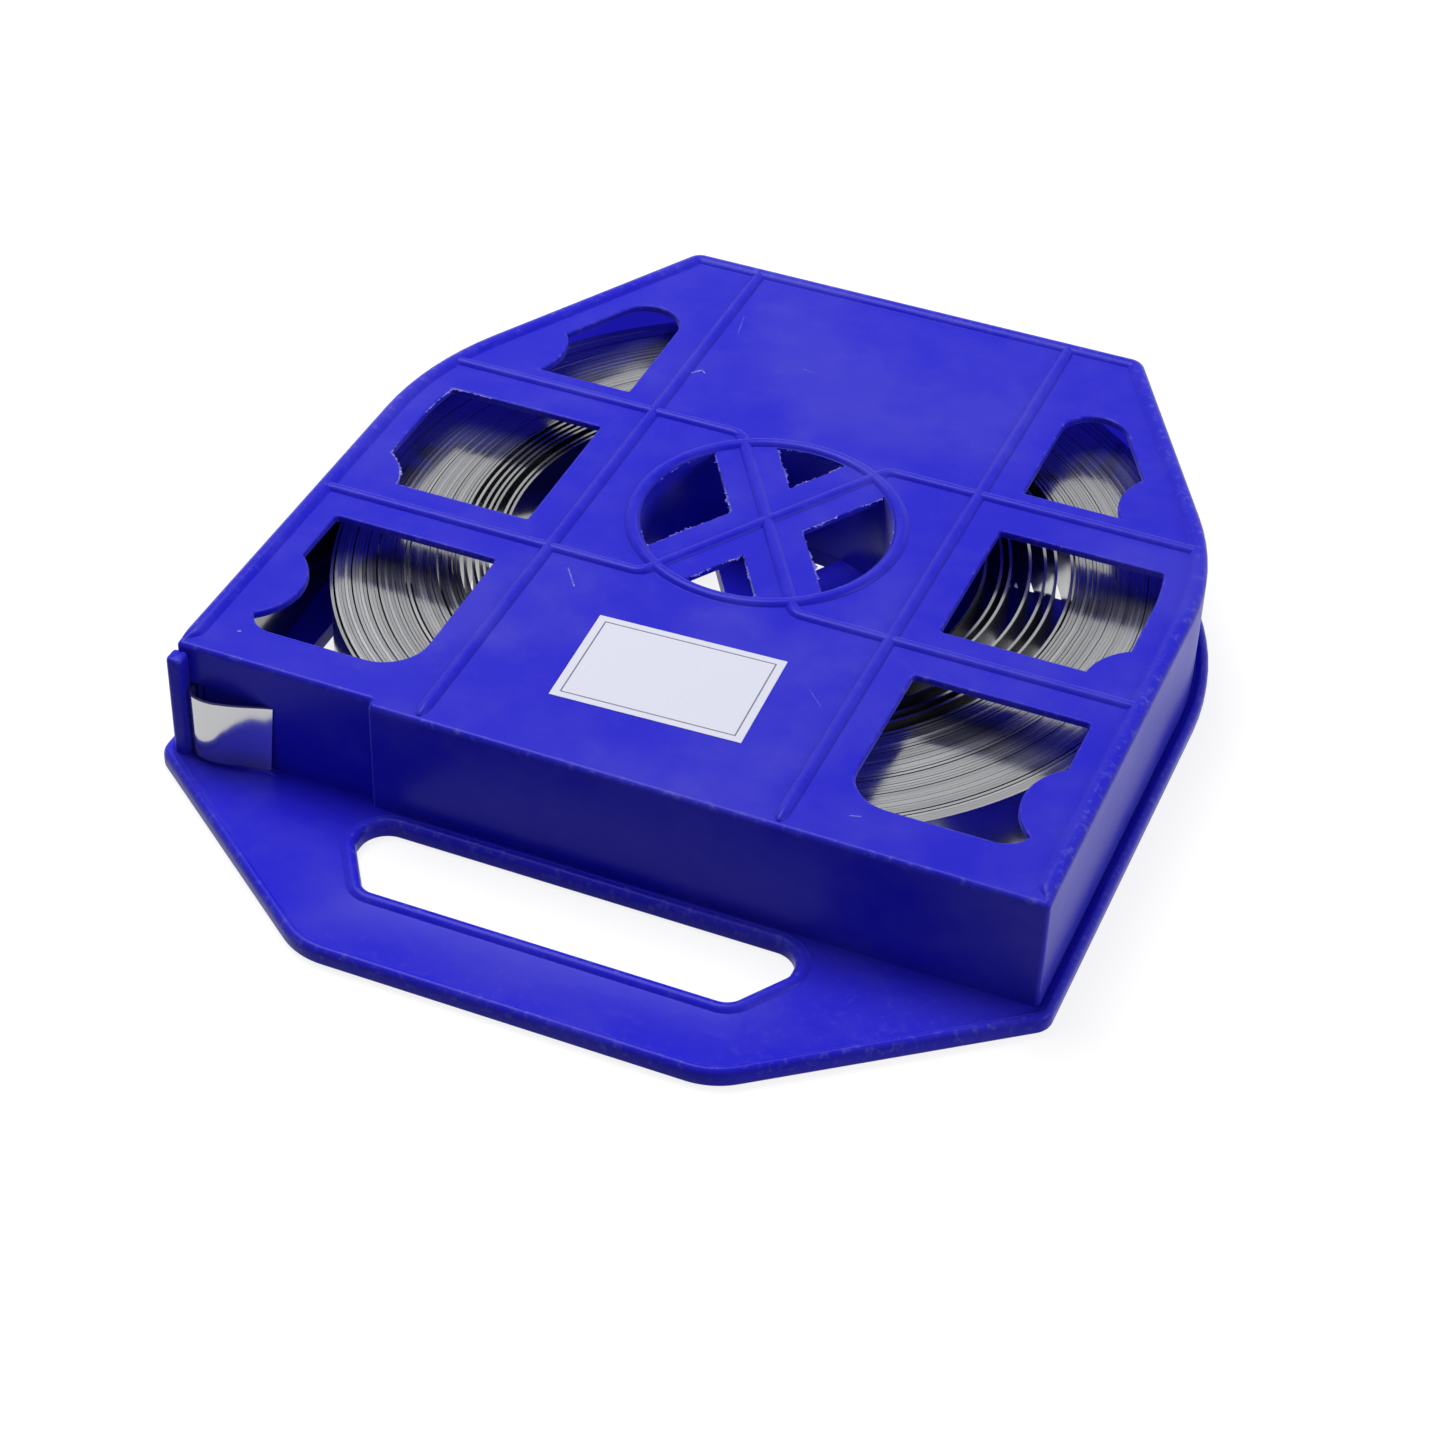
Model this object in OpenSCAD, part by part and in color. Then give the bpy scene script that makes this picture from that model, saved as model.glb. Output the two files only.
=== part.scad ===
// Coil of steel banding in a moulded plastic carry tote, lying flat on its base.
// Lengths are millimetres. +Z is up, +Y points away from the handle, and the origin
// is on the hub axis at the plane that the base rests on.

/* [Steel band] */
// Width of the steel band, which stands on edge in the coil
band_w = 19.05; // [15:0.05:22]
// Thickness of the steel band
band_t = 0.76; // [0.4:0.02:0.8]
// Clearance between the coil and the front and back walls that hold it
coil_gap = 0.3; // [0.2:0.1:2]
// Inner radius of the tight part of the coil
pack_r = 82; // [75:0.5:95]
// Radius of the innermost loose turn where it crosses the +X axis
loose_r = 57.6; // [52:0.2:62]
// Number of loose turns inside the tight part
loose_turns = 6; // [2:1:7]
// Gap between the tight part and the outermost turn, which pays out
outer_gap = 0.45; // [0.3:0.05:1]
// Width of the fine groove between two turns on the ends of the coil
groove_w = 0.14; // [0.08:0.02:0.2]
// Depth of that groove
groove_d = 0.3; // [0.1:0.05:0.6]
// Inside radius of the bend where the band leaves through the slot
tail_bend_r = 3.1; // [2.5:0.1:6]
// Clearance between the side wall and the band that runs along it to the slot
side_gap = 1.2; // [1.1:0.1:2]
// Length of band that shows outside, past the bend
tail_l = 18.6; // [5:0.2:40]

/* [Cover] */
// Overall width of the cover
cover_w = 230.6; // [229:0.2:236]
// Distance from the hub axis to the front wall
front_y = 111.6; // [110.5:0.1:114]
// Distance from the hub axis to the back wall
back_y = 114.4; // [113.5:0.1:116]
// Width of the straight part of the back wall, between its slanted corners
back_w = 136.6; // [120:0.2:150]
// Place along Y where the side wall would meet the slanted back corner
knuckle_y = 28.9; // [20:0.1:36]
// Radius of the long curve from the side wall into the slanted corner
knuckle_r = 91.7; // [60:0.1:100]
// Radius of the back corners
back_corner_r = 5; // [2:0.5:12]
// Height of the top plate's upper face above the floor
plate_z = 36.5; // [34:0.1:42]
// Thickness of the top plate
plate_t = 2; // [1.6:0.1:3]
// Thickness of the walls and of the hub tube
wall_t = 1.6; // [1.2:0.1:2]
// Depth of the shallow recess in the front wall, where the band comes out
recess_d = 2.6; // [2.3:0.1:4]
// Distance from the hub axis to the step at the end of that recess
recess_x = 60.5; // [50:0.5:75]

/* [Ribs and beads] */
// Width of the ribs on the top plate
rib_w = 3.5; // [2.5:0.1:5]
// Height of those ribs
rib_h = 1.2; // [0.6:0.1:1.8]
// Distance between the two long ribs
long_rib_gap = 94.6; // [90:0.2:110]
// Distance between the front and the back cross ribs
cross_rib_gap = 68.4; // [64:0.2:74]
// Width of the rolled bead round the top plate
rim_bead_w = 4.6; // [3:0.1:6]
// Height of that bead
rim_bead_h = 1.3; // [0.6:0.1:1.8]

/* [Hub] */
// Radius of the hole through the hub
hub_r = 33.5; // [30:0.5:36]
// Width of the bead round the hub hole
hub_bead_w = 4.4; // [3:0.1:5]
// Width of the two spokes that cross the hub hole
spoke_w = 17; // [10:0.5:18]
// Angle of each spoke from the X axis
spoke_a = 58; // [45:1:62]

/* [Windows] */
// Distance from the hub axis to the inner side of the windows
window_x = 57.6; // [54:0.2:64]
// Distance between the outer side of the windows and the cover's outer face
window_margin = 11.4; // [9:0.1:14]
// Front window: distance from the hub axis to its front edge
front_window_y0 = 95.5; // [88:0.5:100]
// Front window: distance from the hub axis to its back edge
front_window_y1 = 44.8; // [42:0.2:50]
// Front window: radius of its front inner corner
front_window_r = 12; // [4:0.5:15]
// Middle window: distance from the hub axis to its front edge
mid_window_y0 = 25.5; // [22:0.5:28]
// Middle window: distance from the hub axis to its back edge
mid_window_y1 = 21.5; // [18:0.5:25]
// Back window: distance from the hub axis to its front edge
back_window_y0 = 40.3; // [39:0.1:46]
// Back window: radius of its round end
back_window_r = 9.4; // [6:0.1:11]
// Radius of the round lobes that bite into the windows from outside
lobe_r = 17.2; // [14:0.1:19]

/* [Base] */
// Thickness of the base plate and its handle
base_t = 3.9; // [3:0.1:6]
// Height of the raised floor inside the walls, which centres the cover
pad_h = 1; // [0.6:0.1:2]
// Width of the flange outside the cover's walls
flange_w = 4; // [3.4:0.1:6]
// Width of the bead round the edge of the base
base_bead_w = 2.9; // [2:0.1:2.9]
// Height of the beads on the base
base_bead_h = 1.2; // [0.6:0.1:1.6]
// Distance from the hub axis to the front edge of the handle
handle_y = 164.5; // [150:0.5:175]
// Width of the straight front edge of the handle, before its corners are rounded
handle_w = 108; // [90:1:130]
// Radius of the handle's front corners
handle_r = 20; // [8:1:26]
// Distance from the front wall to the corners where the handle starts to narrow
handle_shoulder = 3.1; // [3:0.1:8]
// Distance from the front wall to the far side of the hand slot
slot_gap = 4.7; // [4.7:0.1:9]
// Width of the hand slot, front to back
slot_d = 23.9; // [18:0.1:28]
// Length of the hand slot along its far side
slot_l = 115.4; // [90:0.2:120]
// Length of the hand slot along its front side
slot_front_l = 96.6; // [70:0.2:100]
// Width of the bead round the hand slot
slot_bead_w = 3.6; // [2.4:0.1:4.2]

/* [Label] */
// Length of the paper label
label_l = 50.4; // [30:0.2:70]
// Width of the paper label
label_w = 34; // [20:0.2:45]
// Thickness of the paper label
label_t = 0.15; // [0.1:0.05:0.3]
// Distance from the hub axis to the centre of the label
label_y = 71.2; // [66:0.2:80]
// Angle at which the label was stuck on
label_a = 2.3; // [-6:0.1:6]

/* [Hidden] */

$fn = 96;
// Largest step of an arc that is drawn as a polygon, in degrees
arc_step = 9;
// Depth to which ribs and beads are rooted in the plate that carries them
root = 0.5;
// Drop in height of each rib below the rib or bead that it runs into
cross_drop = 0.06;
// Ledge between the edge of a plate and the foot of its bead
bead_ledge = 0.35;
// Clearance between the cover's walls and the raised floor that centres them
fit_gap = 0.3;
// Clearance between the band and the lip that guides it out
guide_gap = 0.3;
// How far the first and the last free turn run into the tight part
merge = 0.25;
// Length by which cutters run past the faces that they cut
over = 1;

plate_under = plate_z - plate_t;
floor_z = base_t + pad_h;
hub_wall_r = hub_r + wall_t;

// Outline of the cover, counter-clockwise, as corners [x, y, radius]
edge_r = 1;
step_r = 1.2;
cover_corners = [
    [cover_w / 2, -front_y, edge_r],
    [cover_w / 2, knuckle_y, knuckle_r],
    [back_w / 2, back_y, back_corner_r],
    [-back_w / 2, back_y, back_corner_r],
    [-cover_w / 2, knuckle_y, knuckle_r],
    [-cover_w / 2, recess_d - front_y, edge_r],
    [-recess_x, recess_d - front_y, step_r],
    [-recess_x, -front_y, edge_r]
];

// Outline of the base: the same body with a flange, and the handle in front
base_x = cover_w / 2 + flange_w;
shoulder_y = front_y + handle_shoulder;
shoulder_r = 6;
slant = atan2(back_y - knuckle_y, (cover_w - back_w) / 2);
slant_shift = flange_w * tan((90 - slant) / 2);
back_shift = flange_w * tan(slant / 2);
base_corners = [
    [handle_w / 2, -handle_y, handle_r],
    [base_x, -shoulder_y, shoulder_r],
    [base_x, knuckle_y + slant_shift, knuckle_r + flange_w],
    [back_w / 2 + back_shift, back_y + flange_w, back_corner_r + flange_w],
    [-back_w / 2 - back_shift, back_y + flange_w, back_corner_r + flange_w],
    [-base_x, knuckle_y + slant_shift, knuckle_r + flange_w],
    [-base_x, -shoulder_y, shoulder_r],
    [-handle_w / 2, -handle_y, handle_r]
];

// Hand slot
slot_y1 = -(front_y + slot_gap);
slot_y0 = slot_y1 - slot_d;
slot_bend = 0.4;
slot_corners = [
    [slot_front_l / 2, slot_y0, 5],
    [slot_l / 2, slot_y1 - slot_bend * slot_d, 3],
    [slot_l / 2, slot_y1, 7],
    [-slot_l / 2, slot_y1, 7],
    [-slot_l / 2, slot_y1 - slot_bend * slot_d, 3],
    [-slot_front_l / 2, slot_y0, 5]
];

// Windows on the +X side
window_edge_r = 1;
window_outer_r = 8;
window_x1 = cover_w / 2 - window_margin;
back_window_tip = knuckle_y + (cover_w / 2 - window_x) * tan(slant) - window_margin / cos(slant);
front_window = [
    [window_x, -front_window_y0, front_window_r],
    [window_x1, -front_window_y0, window_outer_r],
    [window_x1, -front_window_y1, window_edge_r],
    [window_x, -front_window_y1, window_edge_r]
];
back_window = [
    [window_x, back_window_y0, window_edge_r],
    [window_x + (back_window_tip - back_window_y0) / tan(slant), back_window_y0, window_edge_r],
    [window_x, back_window_tip, back_window_r]
];
// Centres of the lobes, measured in from the cover's side or its slanted corner
lobe_centres = [
    [cover_w / 2 - 1, -77.2],
    [cover_w / 2 - 2, -27.7],
    [cover_w / 2 - 16, 49.5]
];

// The coil springs out until the walls stop it
coil_y = (back_y - front_y) / 2;
coil_r = min((back_y + front_y) / 2 - coil_gap, cover_w / 2 - side_gap) - wall_t;

// Where a cross rib bends into the line of a spoke's rib, and its extra width there
knee = [cross_rib_gap / 2 / tan(spoke_a), cross_rib_gap / 2];
knee_swell = 0.3;

// Coil: the tight part, and the radii at which free turns cross its X axis
tight_r1 = coil_r - band_t - outer_gap;
turns = floor((tight_r1 - pack_r) / band_t);
loose_left_r = loose_r + 12.9;
loose_right = [
    for (i = [0 : loose_turns])
        meeting(loose_r + (pack_r + band_t / 2 + merge - loose_r) * pow(i / loose_turns, 1.05))
];
loose_left = [
    for (i = [0 : loose_turns - 1])
        meeting(loose_left_r + (pack_r - band_t - loose_left_r) * i / (loose_turns - 0.45))
];

// Where the band leaves: a lip on the recessed wall, and a post beside it
tail_x = cover_w / 2 - wall_t - side_gap - band_t / 2;
tail_y = front_y - recess_d + guide_gap + band_t / 2;
tail_r = tail_bend_r + band_t / 2;
lip_centre = [tail_r - tail_x, tail_r - tail_y];
lip_r = tail_bend_r - guide_gap;
lip_t = min(wall_t, lip_r - 0.5);
lip_l = 3;
post_w = 4.4;
post_d = 5;
post_x = cover_w / 2 + 1;
post_y = front_y + 1.9;
post_drop = 2.4;
post_r = 1;
guide_rib_w = 1.8;
guide_rib_gap = 0.35;

// Outermost turn: half a circle from inside the tight part, then the line that is
// tangent to it and to the bend at the slot
outer_start = meeting(tight_r1 - band_t / 2 - merge);
outer_end = meeting(coil_r - band_t / 2);
outer_r = (outer_start + outer_end) / 2;
outer_centre = [(outer_start - outer_end) / 2, coil_y];
reach = lip_centre - outer_centre;
lean = acos((outer_r - tail_r) / norm(reach)) - atan2(-reach.y, -reach.x);
run_l = sqrt(reach * reach - pow(outer_r - tail_r, 2));

function unit(v) = v / norm(v);
function left_of(v) = [-v.y, v.x];
function flat(p) = [p.x, p.y];
function arc_points(centre, r, a) =
    let (steps = ceil(abs(a) / arc_step))
        [for (k = [0 : steps]) centre + r * [cos(a * k / steps), sin(a * k / steps)]];

// Radius rounded so that half its sum with another one is exact, and half turns meet
function meeting(r) = round(r * 500) / 500;

// One corner of an outline, moved inwards: [tangent in, tangent out, centre, radius, start, turn]
function corner(pts, i, inset) =
    let (
        n = len(pts),
        q = flat(pts[i]),
        u = unit(q - flat(pts[(i + n - 1) % n])),
        v = unit(flat(pts[(i + 1) % n]) - q),
        turn = atan2(u.x * v.y - u.y * v.x, u * v),
        side = turn > 0 ? 1 : -1,
        toward = (left_of(u) + left_of(v)) / (1 + u * v),
        r = max(turn > 0 ? pts[i][2] - inset : pts[i][2], 0),
        q_in = q + inset * toward,
        t = r * tan(abs(turn) / 2),
        start = left_of(u) * -side
    )
    [q_in - t * u, q_in + t * v, q_in + side * r * toward, r, atan2(start.y, start.x), turn];

// Points on the arc that rounds one corner
function corner_arc(c) =
    let (steps = c[3] > 0 ? ceil(abs(c[5]) / arc_step) : 0)
    [
        for (k = [0 : steps])
            let (a = c[4] + (steps > 0 ? c[5] * k / steps : 0))
                c[2] + c[3] * [cos(a), sin(a)]
    ];

// Points of an outline with its corners rounded, moved inwards by a distance
function outline(pts, inset = 0) =
    [for (i = [0 : len(pts) - 1]) each corner_arc(corner(pts, i, inset))];

module slab(pts, inset, z0, z1) {
    translate([0, 0, z0])
        linear_extrude(z1 - z0)
            polygon(outline(pts, inset));
}

module both_sides() {
    children();
    mirror([1, 0, 0])
        children();
}

// Cross-section of a bead: a cap of a circle that is rooted in the plate below it
module bead_profile(w, h) {
    r = (w * w / 4 + h * h) / (2 * h);
    intersection() {
        translate([0, h - r])
            circle(r);
        translate([-w, -root])
            square([2 * w, h + root + over]);
    }
}

module bead_end(p, z, w, h) {
    translate([p.x, p.y, z])
        rotate_extrude()
            intersection() {
                bead_profile(w, h);
                translate([0, -root])
                    square([w, h + root + over]);
            }
}

module bead_line(p, q, z, w, h) {
    d = q - p;
    translate([p.x, p.y, z])
        rotate([0, 0, atan2(d.y, d.x)])
            rotate([90, 0, 90])
                linear_extrude(norm(d))
                    bead_profile(w, h);
}

// Section of a lofted bead, as [distance from its edge, height]
function bead_section(w, h) = [
    [0, -root],
    [0, 0.1 * h],
    [0.2 * w, 0.75 * h],
    [0.5 * w, h],
    [0.8 * w, 0.75 * h],
    [w, 0],
    [w, -root]
];

function two_triangles(q) = [[q[0], q[1], q[2]], [q[0], q[2], q[3]]];

// Skin between rows of points, each a row along the bead at one point of its section
module loft(rows, closed) {
    m = len(rows);
    n = len(rows[0]);
    quads = [
        for (j = [0 : m - 1], i = [0 : closed ? n - 1 : n - 2])
            let (a = j * n, b = (j + 1) % m * n, k = (i + 1) % n)
                [a + i, b + i, b + k, a + k]
    ];
    ends = closed ? [] : [
        for (j = [1 : m - 2])
            each [[0, j * n, (j + 1) * n], [n - 1, (j + 2) * n - 1, (j + 1) * n - 1]]
    ];
    polyhedron([for (row = rows) each row], concat([for (q = quads) each two_triangles(q)], ends));
}

// Bead all round an outline: just inside it where side is 1, just outside where it is -1
module edge_bead(pts, side, z, w, h) {
    section = bead_section(w, h);
    order = side > 0 ? section : [for (j = [len(section) - 1 : -1 : 0]) section[j]];
    loft([
        for (s = order)
            [for (p = outline(pts, side * (bead_ledge + s.x))) [p.x, p.y, z + s.y]]
    ], true);
}

module ring(r0, r1, z0, z1) {
    translate([0, 0, z0])
        rotate_extrude()
            translate([r0, 0])
                square([r1 - r0, z1 - z0]);
}

// Plan of the three windows on the +X side
module side_windows() {
    difference() {
        union() {
            polygon(outline(front_window));
            intersection() {
                translate([window_x, -mid_window_y0])
                    square([cover_w / 2 - window_x, mid_window_y0 + mid_window_y1]);
                polygon(outline(cover_corners, window_margin - 0.3));
            }
            polygon(outline(back_window));
        }
        for (c = lobe_centres)
            translate(c)
                circle(lobe_r);
    }
}

module window_cutters(z0, z1) {
    both_sides()
        translate([0, 0, z0])
            linear_extrude(z1 - z0)
                side_windows();
}

module spokes(z0, z1) {
    intersection() {
        translate([0, 0, z0])
            linear_extrude(z1 - z0)
                for (a = [spoke_a, 180 - spoke_a])
                    rotate(a)
                        square([2 * hub_wall_r, spoke_w], center = true);
        translate([0, 0, z0])
            cylinder(r = hub_r + wall_t / 2, h = z1 - z0);
    }
}

module hub_hole(z0, z1) {
    difference() {
        translate([0, 0, z0])
            cylinder(r = hub_r, h = z1 - z0);
        spokes(z0 - over, z1 + over);
    }
}

// Rolled bead round the sides and the back of the top plate, with sloping front ends
module rim_bead() {
    rows = [
        for (s = bead_section(rim_bead_w, rim_bead_h))
            let (
                inset = bead_ledge + s.x,
                slope = bead_ledge + max(s.y, 0),
                path = concat(
                    [[cover_w / 2 - inset, -front_y + slope]],
                    [for (i = [1 : 4]) each corner_arc(corner(cover_corners, i, inset))],
                    [[inset - cover_w / 2, recess_d - front_y + slope]]
                )
            )
                [for (p = path) [p.x, p.y, plate_z + s.y]]
    ];
    loft(rows, false);
}

// Ribs on the top plate. The cross ribs run from the knees into the middle of the rim bead.
module top_ribs() {
    x = long_rib_gap / 2;
    inset = bead_ledge + rim_bead_w / 2;
    knuckle = corner(cover_corners, 1, inset);
    side_x = cover_w / 2 - inset;
    knuckle_x = knuckle[2].x + sqrt(pow(knuckle[3], 2) - pow(knee.y - knuckle[2].y, 2));
    both_sides() {
        bead_line([x, -front_y + rib_w / 2], [x, back_y - inset], plate_z, rib_w, rib_h);
        bead_end([x, -front_y + rib_w / 2], plate_z, rib_w, rib_h);
        for (end = [[side_x, -knee.y], [knuckle_x, knee.y]]) {
            bead_line([knee.x, end.y], end, plate_z, rib_w, rib_h - cross_drop);
            bead_end([knee.x, end.y], plate_z, rib_w + knee_swell, rib_h);
        }
    }
}

module hub_ribs() {
    translate([0, 0, plate_z])
        rotate_extrude()
            translate([hub_r + hub_bead_w / 2 - 0.1, 0])
                bead_profile(hub_bead_w - 0.4, rib_h);
    bead_line(-knee, knee, plate_z, rib_w, rib_h - 2 * cross_drop);
    bead_line([-knee.x, knee.y], [knee.x, -knee.y], plate_z, rib_w, rib_h - 3 * cross_drop);
}

// Lip at the end of the recessed wall, curled inwards so that the band bends round it
module exit_lip() {
    translate([lip_centre.x, lip_centre.y, floor_z]) {
        rotate([0, 0, 180])
            rotate_extrude(angle = 90)
                translate([lip_r - lip_t, 0])
                    square([lip_t, plate_under - floor_z]);
        translate([-lip_r, 0, 0])
            cube([lip_t, lip_l, plate_under - floor_z]);
    }
}

module post() {
    translate([-post_x, -post_y, base_t])
        linear_extrude(plate_z - post_drop - base_t)
            polygon(outline([
                [0, 0, post_r],
                [post_w, 0, post_r],
                [post_w, post_d, 0],
                [0, post_d, post_r]
            ]));
}

// Opening in the front left corner, between the left wall and the lip
module exit_slot() {
    x0 = -cover_w / 2 + wall_t;
    translate([x0, -front_y, base_t - over])
        cube([lip_centre.x - x0, front_y + lip_centre.y, plate_under - base_t + over]);
}

module cover() {
    color([0.16, 0.14, 0.78]) {
        difference() {
            union() {
                slab(cover_corners, 0, plate_under, plate_z);
                difference() {
                    slab(cover_corners, 0, base_t, plate_under);
                    slab(cover_corners, wall_t, base_t - over, plate_under + over);
                    exit_slot();
                }
                exit_lip();
                post();
                ring(hub_r, hub_wall_r, floor_z, plate_under);
                rim_bead();
                top_ribs();
            }
            window_cutters(plate_under - over, plate_z + rib_h + over);
            hub_hole(plate_under - over, plate_z + rib_h + over);
        }
        hub_ribs();
    }
}

module base() {
    color([0.14, 0.12, 0.74])
        difference() {
            union() {
                slab(base_corners, 0, 0, base_t);
                slab(cover_corners, wall_t + fit_gap, base_t - root, floor_z);
                difference() {
                    edge_bead(base_corners, 1, base_t, base_bead_w, base_bead_h);
                    post_socket();
                }
                edge_bead(slot_corners, -1, base_t, slot_bead_w, base_bead_h);
                guide_rib();
            }
            window_cutters(-over, floor_z + over);
            hub_hole(-over, floor_z + over);
            slab(slot_corners, 0, -over, base_t + base_bead_h + over);
        }
}

// Room in the edge bead for the foot of the post
module post_socket() {
    translate([-post_x - fit_gap, -post_y - fit_gap, base_t])
        cube([post_w + 2 * fit_gap, post_d + 2 * fit_gap, base_bead_h + over]);
}

// Low rib on the flange that keeps the end of the band against the recessed wall
module guide_rib() {
    y = tail_y + band_t / 2 + guide_rib_gap + guide_rib_w / 2;
    x0 = lip_centre.x;
    p = [x0, -y];
    q = [x0 + tail_l, -y];
    bead_line(p, q, base_t, guide_rib_w, pad_h);
    bead_end(p, base_t, guide_rib_w, pad_h);
    bead_end(q, base_t, guide_rib_w, pad_h);
}

// One turn's share of the coil's end: flat, with half a groove at each side
function turn_end(r, z, depth) = [
    [r, z - depth],
    [r + groove_w / 2, z],
    [r + band_t - groove_w / 2, z],
    [r + band_t, z - depth]
];

// The tight part of the coil, turned, with the turns showing on both ends
module tight_turns() {
    z0 = floor_z;
    z1 = floor_z + band_w;
    pitch = (tight_r1 - pack_r) / turns;
    margin = 2;
    top = [for (i = [margin : turns - margin - 1]) each turn_end(pack_r + i * pitch, z1, groove_d)];
    bottom = [for (i = [turns - margin - 1 : -1 : margin]) each
        [for (k = [3 : -1 : 0]) let (p = turn_end(pack_r + i * pitch, z0, -groove_d)[k]) p]];
    translate([0, coil_y, 0])
        rotate_extrude()
            polygon(concat(
                [[pack_r, z0], [pack_r, z1]],
                top,
                [[tight_r1, z1], [tight_r1, z0]],
                bottom
            ));
}

// Strip of band standing on edge and bent round the origin by an angle from the X axis
module bent_band(r, angle) {
    rotate_extrude(angle = angle)
        translate([r - band_t / 2, 0])
            square([band_t, band_w]);
}

// Half a turn between two places on the coil's X axis, behind the hub or in front of it
module half_turn(x_right, x_left, behind) {
    translate([(x_right - x_left) / 2, coil_y, floor_z])
        bent_band((x_right + x_left) / 2, behind ? 180 : -180);
}

module loose_band() {
    for (i = [0 : loose_turns - 1]) {
        half_turn(loose_right[i], loose_left[i], true);
        half_turn(loose_right[i + 1], loose_left[i], false);
    }
}

// Outermost half turn, and from its end the straight run, the bend and the free end
module tail() {
    bend = 90 + lean;
    centre = [outer_r - tail_r, run_l];
    inner = arc_points(centre, tail_bend_r, bend);
    outer = arc_points(centre, tail_bend_r + band_t, bend);
    shift = tail_l * [-sin(bend), cos(bend)];
    translate([outer_centre.x, outer_centre.y, floor_z])
        rotate([0, 0, 180 - lean]) {
            bent_band(outer_r, lean - 180);
            linear_extrude(band_w)
                polygon(concat(
                    [[outer_r - band_t / 2, 0]],
                    inner,
                    [inner[len(inner) - 1] + shift, outer[len(outer) - 1] + shift],
                    [for (i = [len(outer) - 1 : -1 : 0]) outer[i]],
                    [[outer_r + band_t / 2, 0]]
                ));
        }
}

module steel_band() {
    color([0.68, 0.69, 0.71]) {
        tight_turns();
        loose_band();
        tail();
    }
}

module label() {
    color([0.9, 0.9, 0.94])
        translate([2.6, -label_y, plate_z])
            rotate([0, 0, label_a])
                translate([-label_l / 2, -label_w / 2, 0])
                    cube([label_l, label_w, label_t]);
}

cover();
base();
steel_band();
label();
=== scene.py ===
"""Looks of a coil of steel banding in a blue moulded tote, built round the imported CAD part.

Lengths are millimetres until a mesh is made. +Z is up, +Y points away from the handle, and
the origin is on the hub axis in the plane that the base rests on, as in the CAD.
"""

import math

import bmesh
import bpy
import numpy as np
from mathutils import Matrix, Vector
from mathutils.geometry import delaunay_2d_cdt


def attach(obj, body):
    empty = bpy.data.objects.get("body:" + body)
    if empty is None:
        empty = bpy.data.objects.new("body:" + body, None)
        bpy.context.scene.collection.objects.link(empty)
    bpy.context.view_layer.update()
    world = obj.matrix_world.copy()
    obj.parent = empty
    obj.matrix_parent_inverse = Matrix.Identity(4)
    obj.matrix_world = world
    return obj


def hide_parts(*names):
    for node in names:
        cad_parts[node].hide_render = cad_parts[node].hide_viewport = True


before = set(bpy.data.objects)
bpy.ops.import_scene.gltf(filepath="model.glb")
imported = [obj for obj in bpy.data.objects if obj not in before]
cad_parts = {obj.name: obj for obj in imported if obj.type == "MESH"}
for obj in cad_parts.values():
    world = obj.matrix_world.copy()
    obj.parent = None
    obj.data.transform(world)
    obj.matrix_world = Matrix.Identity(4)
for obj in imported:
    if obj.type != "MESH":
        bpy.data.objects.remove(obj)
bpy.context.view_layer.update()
MM = 0.001

# Cover
SIDE_X = 115.3
FRONT_Y = 111.6
BACK_Y = 114.4
BACK_X = 68.3
KNUCKLE_Y = 28.9
KNUCKLE_R = 91.7
PLATE_Z = 36.5
PLATE_UNDER = 34.5
WALL_T = 1.6
RECESS_D = 2.6
RECESS_X = 60.5
SLANT = math.atan2(BACK_Y - KNUCKLE_Y, SIDE_X - BACK_X)
SLOT_X0 = -SIDE_X + WALL_T

# Handle, and the hand slot in it
HANDLE_X = 54
HANDLE_Y = 164.5

# Ribs and beads on the cover
RIB_W = 3.5
RIB_H = 1.2
LONG_RIB_X = 47.3
CROSS_RIB_Y = 34.2
RIM_W = 4.9
RIM_H = 1.3
HUB_R = 33.5
HUB_BEAD_W = 4.0
SPOKE_W = 17
SPOKE_A = math.radians(58)

# Base
BASE_T = 3.9
FLOOR_Z = 4.9
FLANGE = 4.0
BEAD_H = 1.2

# Steel band
BAND_T = 0.76
BAND_W = 19.05
COIL_Y = 1.4
COIL_LIFT = 2.0  # how far the turns ride above the floor, from their reflections of the plate
BEND_R = 3.48
TAIL_X = 112.12
TAIL_Y = 109.68
TAIL_L = 18.6
SLOT_TOP = 24.7
# Places that the band passes on its way out of the slot, bulging, to its tip on the wall
TAIL_POINTS = [
    (-112.12, -106.2),
    (-111.35, -108.6),
    (-111.15, -110.3),
    (-110.7, -111.85),
    (-109.35, -112.98),
    (-107.6, -113.55),
    (-104.25, -113.77),
    (-100.23, -112.97),
    (-96.32, -111.89),
    (-92.45, -110.72),
    (-89.65, -109.95),
]


# ---------------------------------------------------------------- camera


def add_camera():
    """A camera at the photograph's viewing angle, from its fitted place and turn."""
    data = bpy.data.cameras.new("camera")
    data.sensor_width = 36
    data.lens = 82.26
    data.clip_start = 0.05
    data.clip_end = 40
    camera = bpy.data.objects.new("camera", data)
    right = Vector((0.922457, 0.385325, 0.024439))
    down = Vector((0.263448, -0.581891, -0.769413))
    ahead = Vector((-0.282255, 0.716189, -0.638283))
    camera.matrix_world = Matrix.Translation(Vector((247.2, -656.48, 549.35)) * MM) @ Matrix(
        (
            (right.x, -down.x, -ahead.x, 0),
            (right.y, -down.y, -ahead.y, 0),
            (right.z, -down.z, -ahead.z, 0),
            (0, 0, 0, 1),
        )
    )
    bpy.context.scene.collection.objects.link(camera)
    bpy.context.scene.camera = camera


# ---------------------------------------------------------------- outlines and shells


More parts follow.
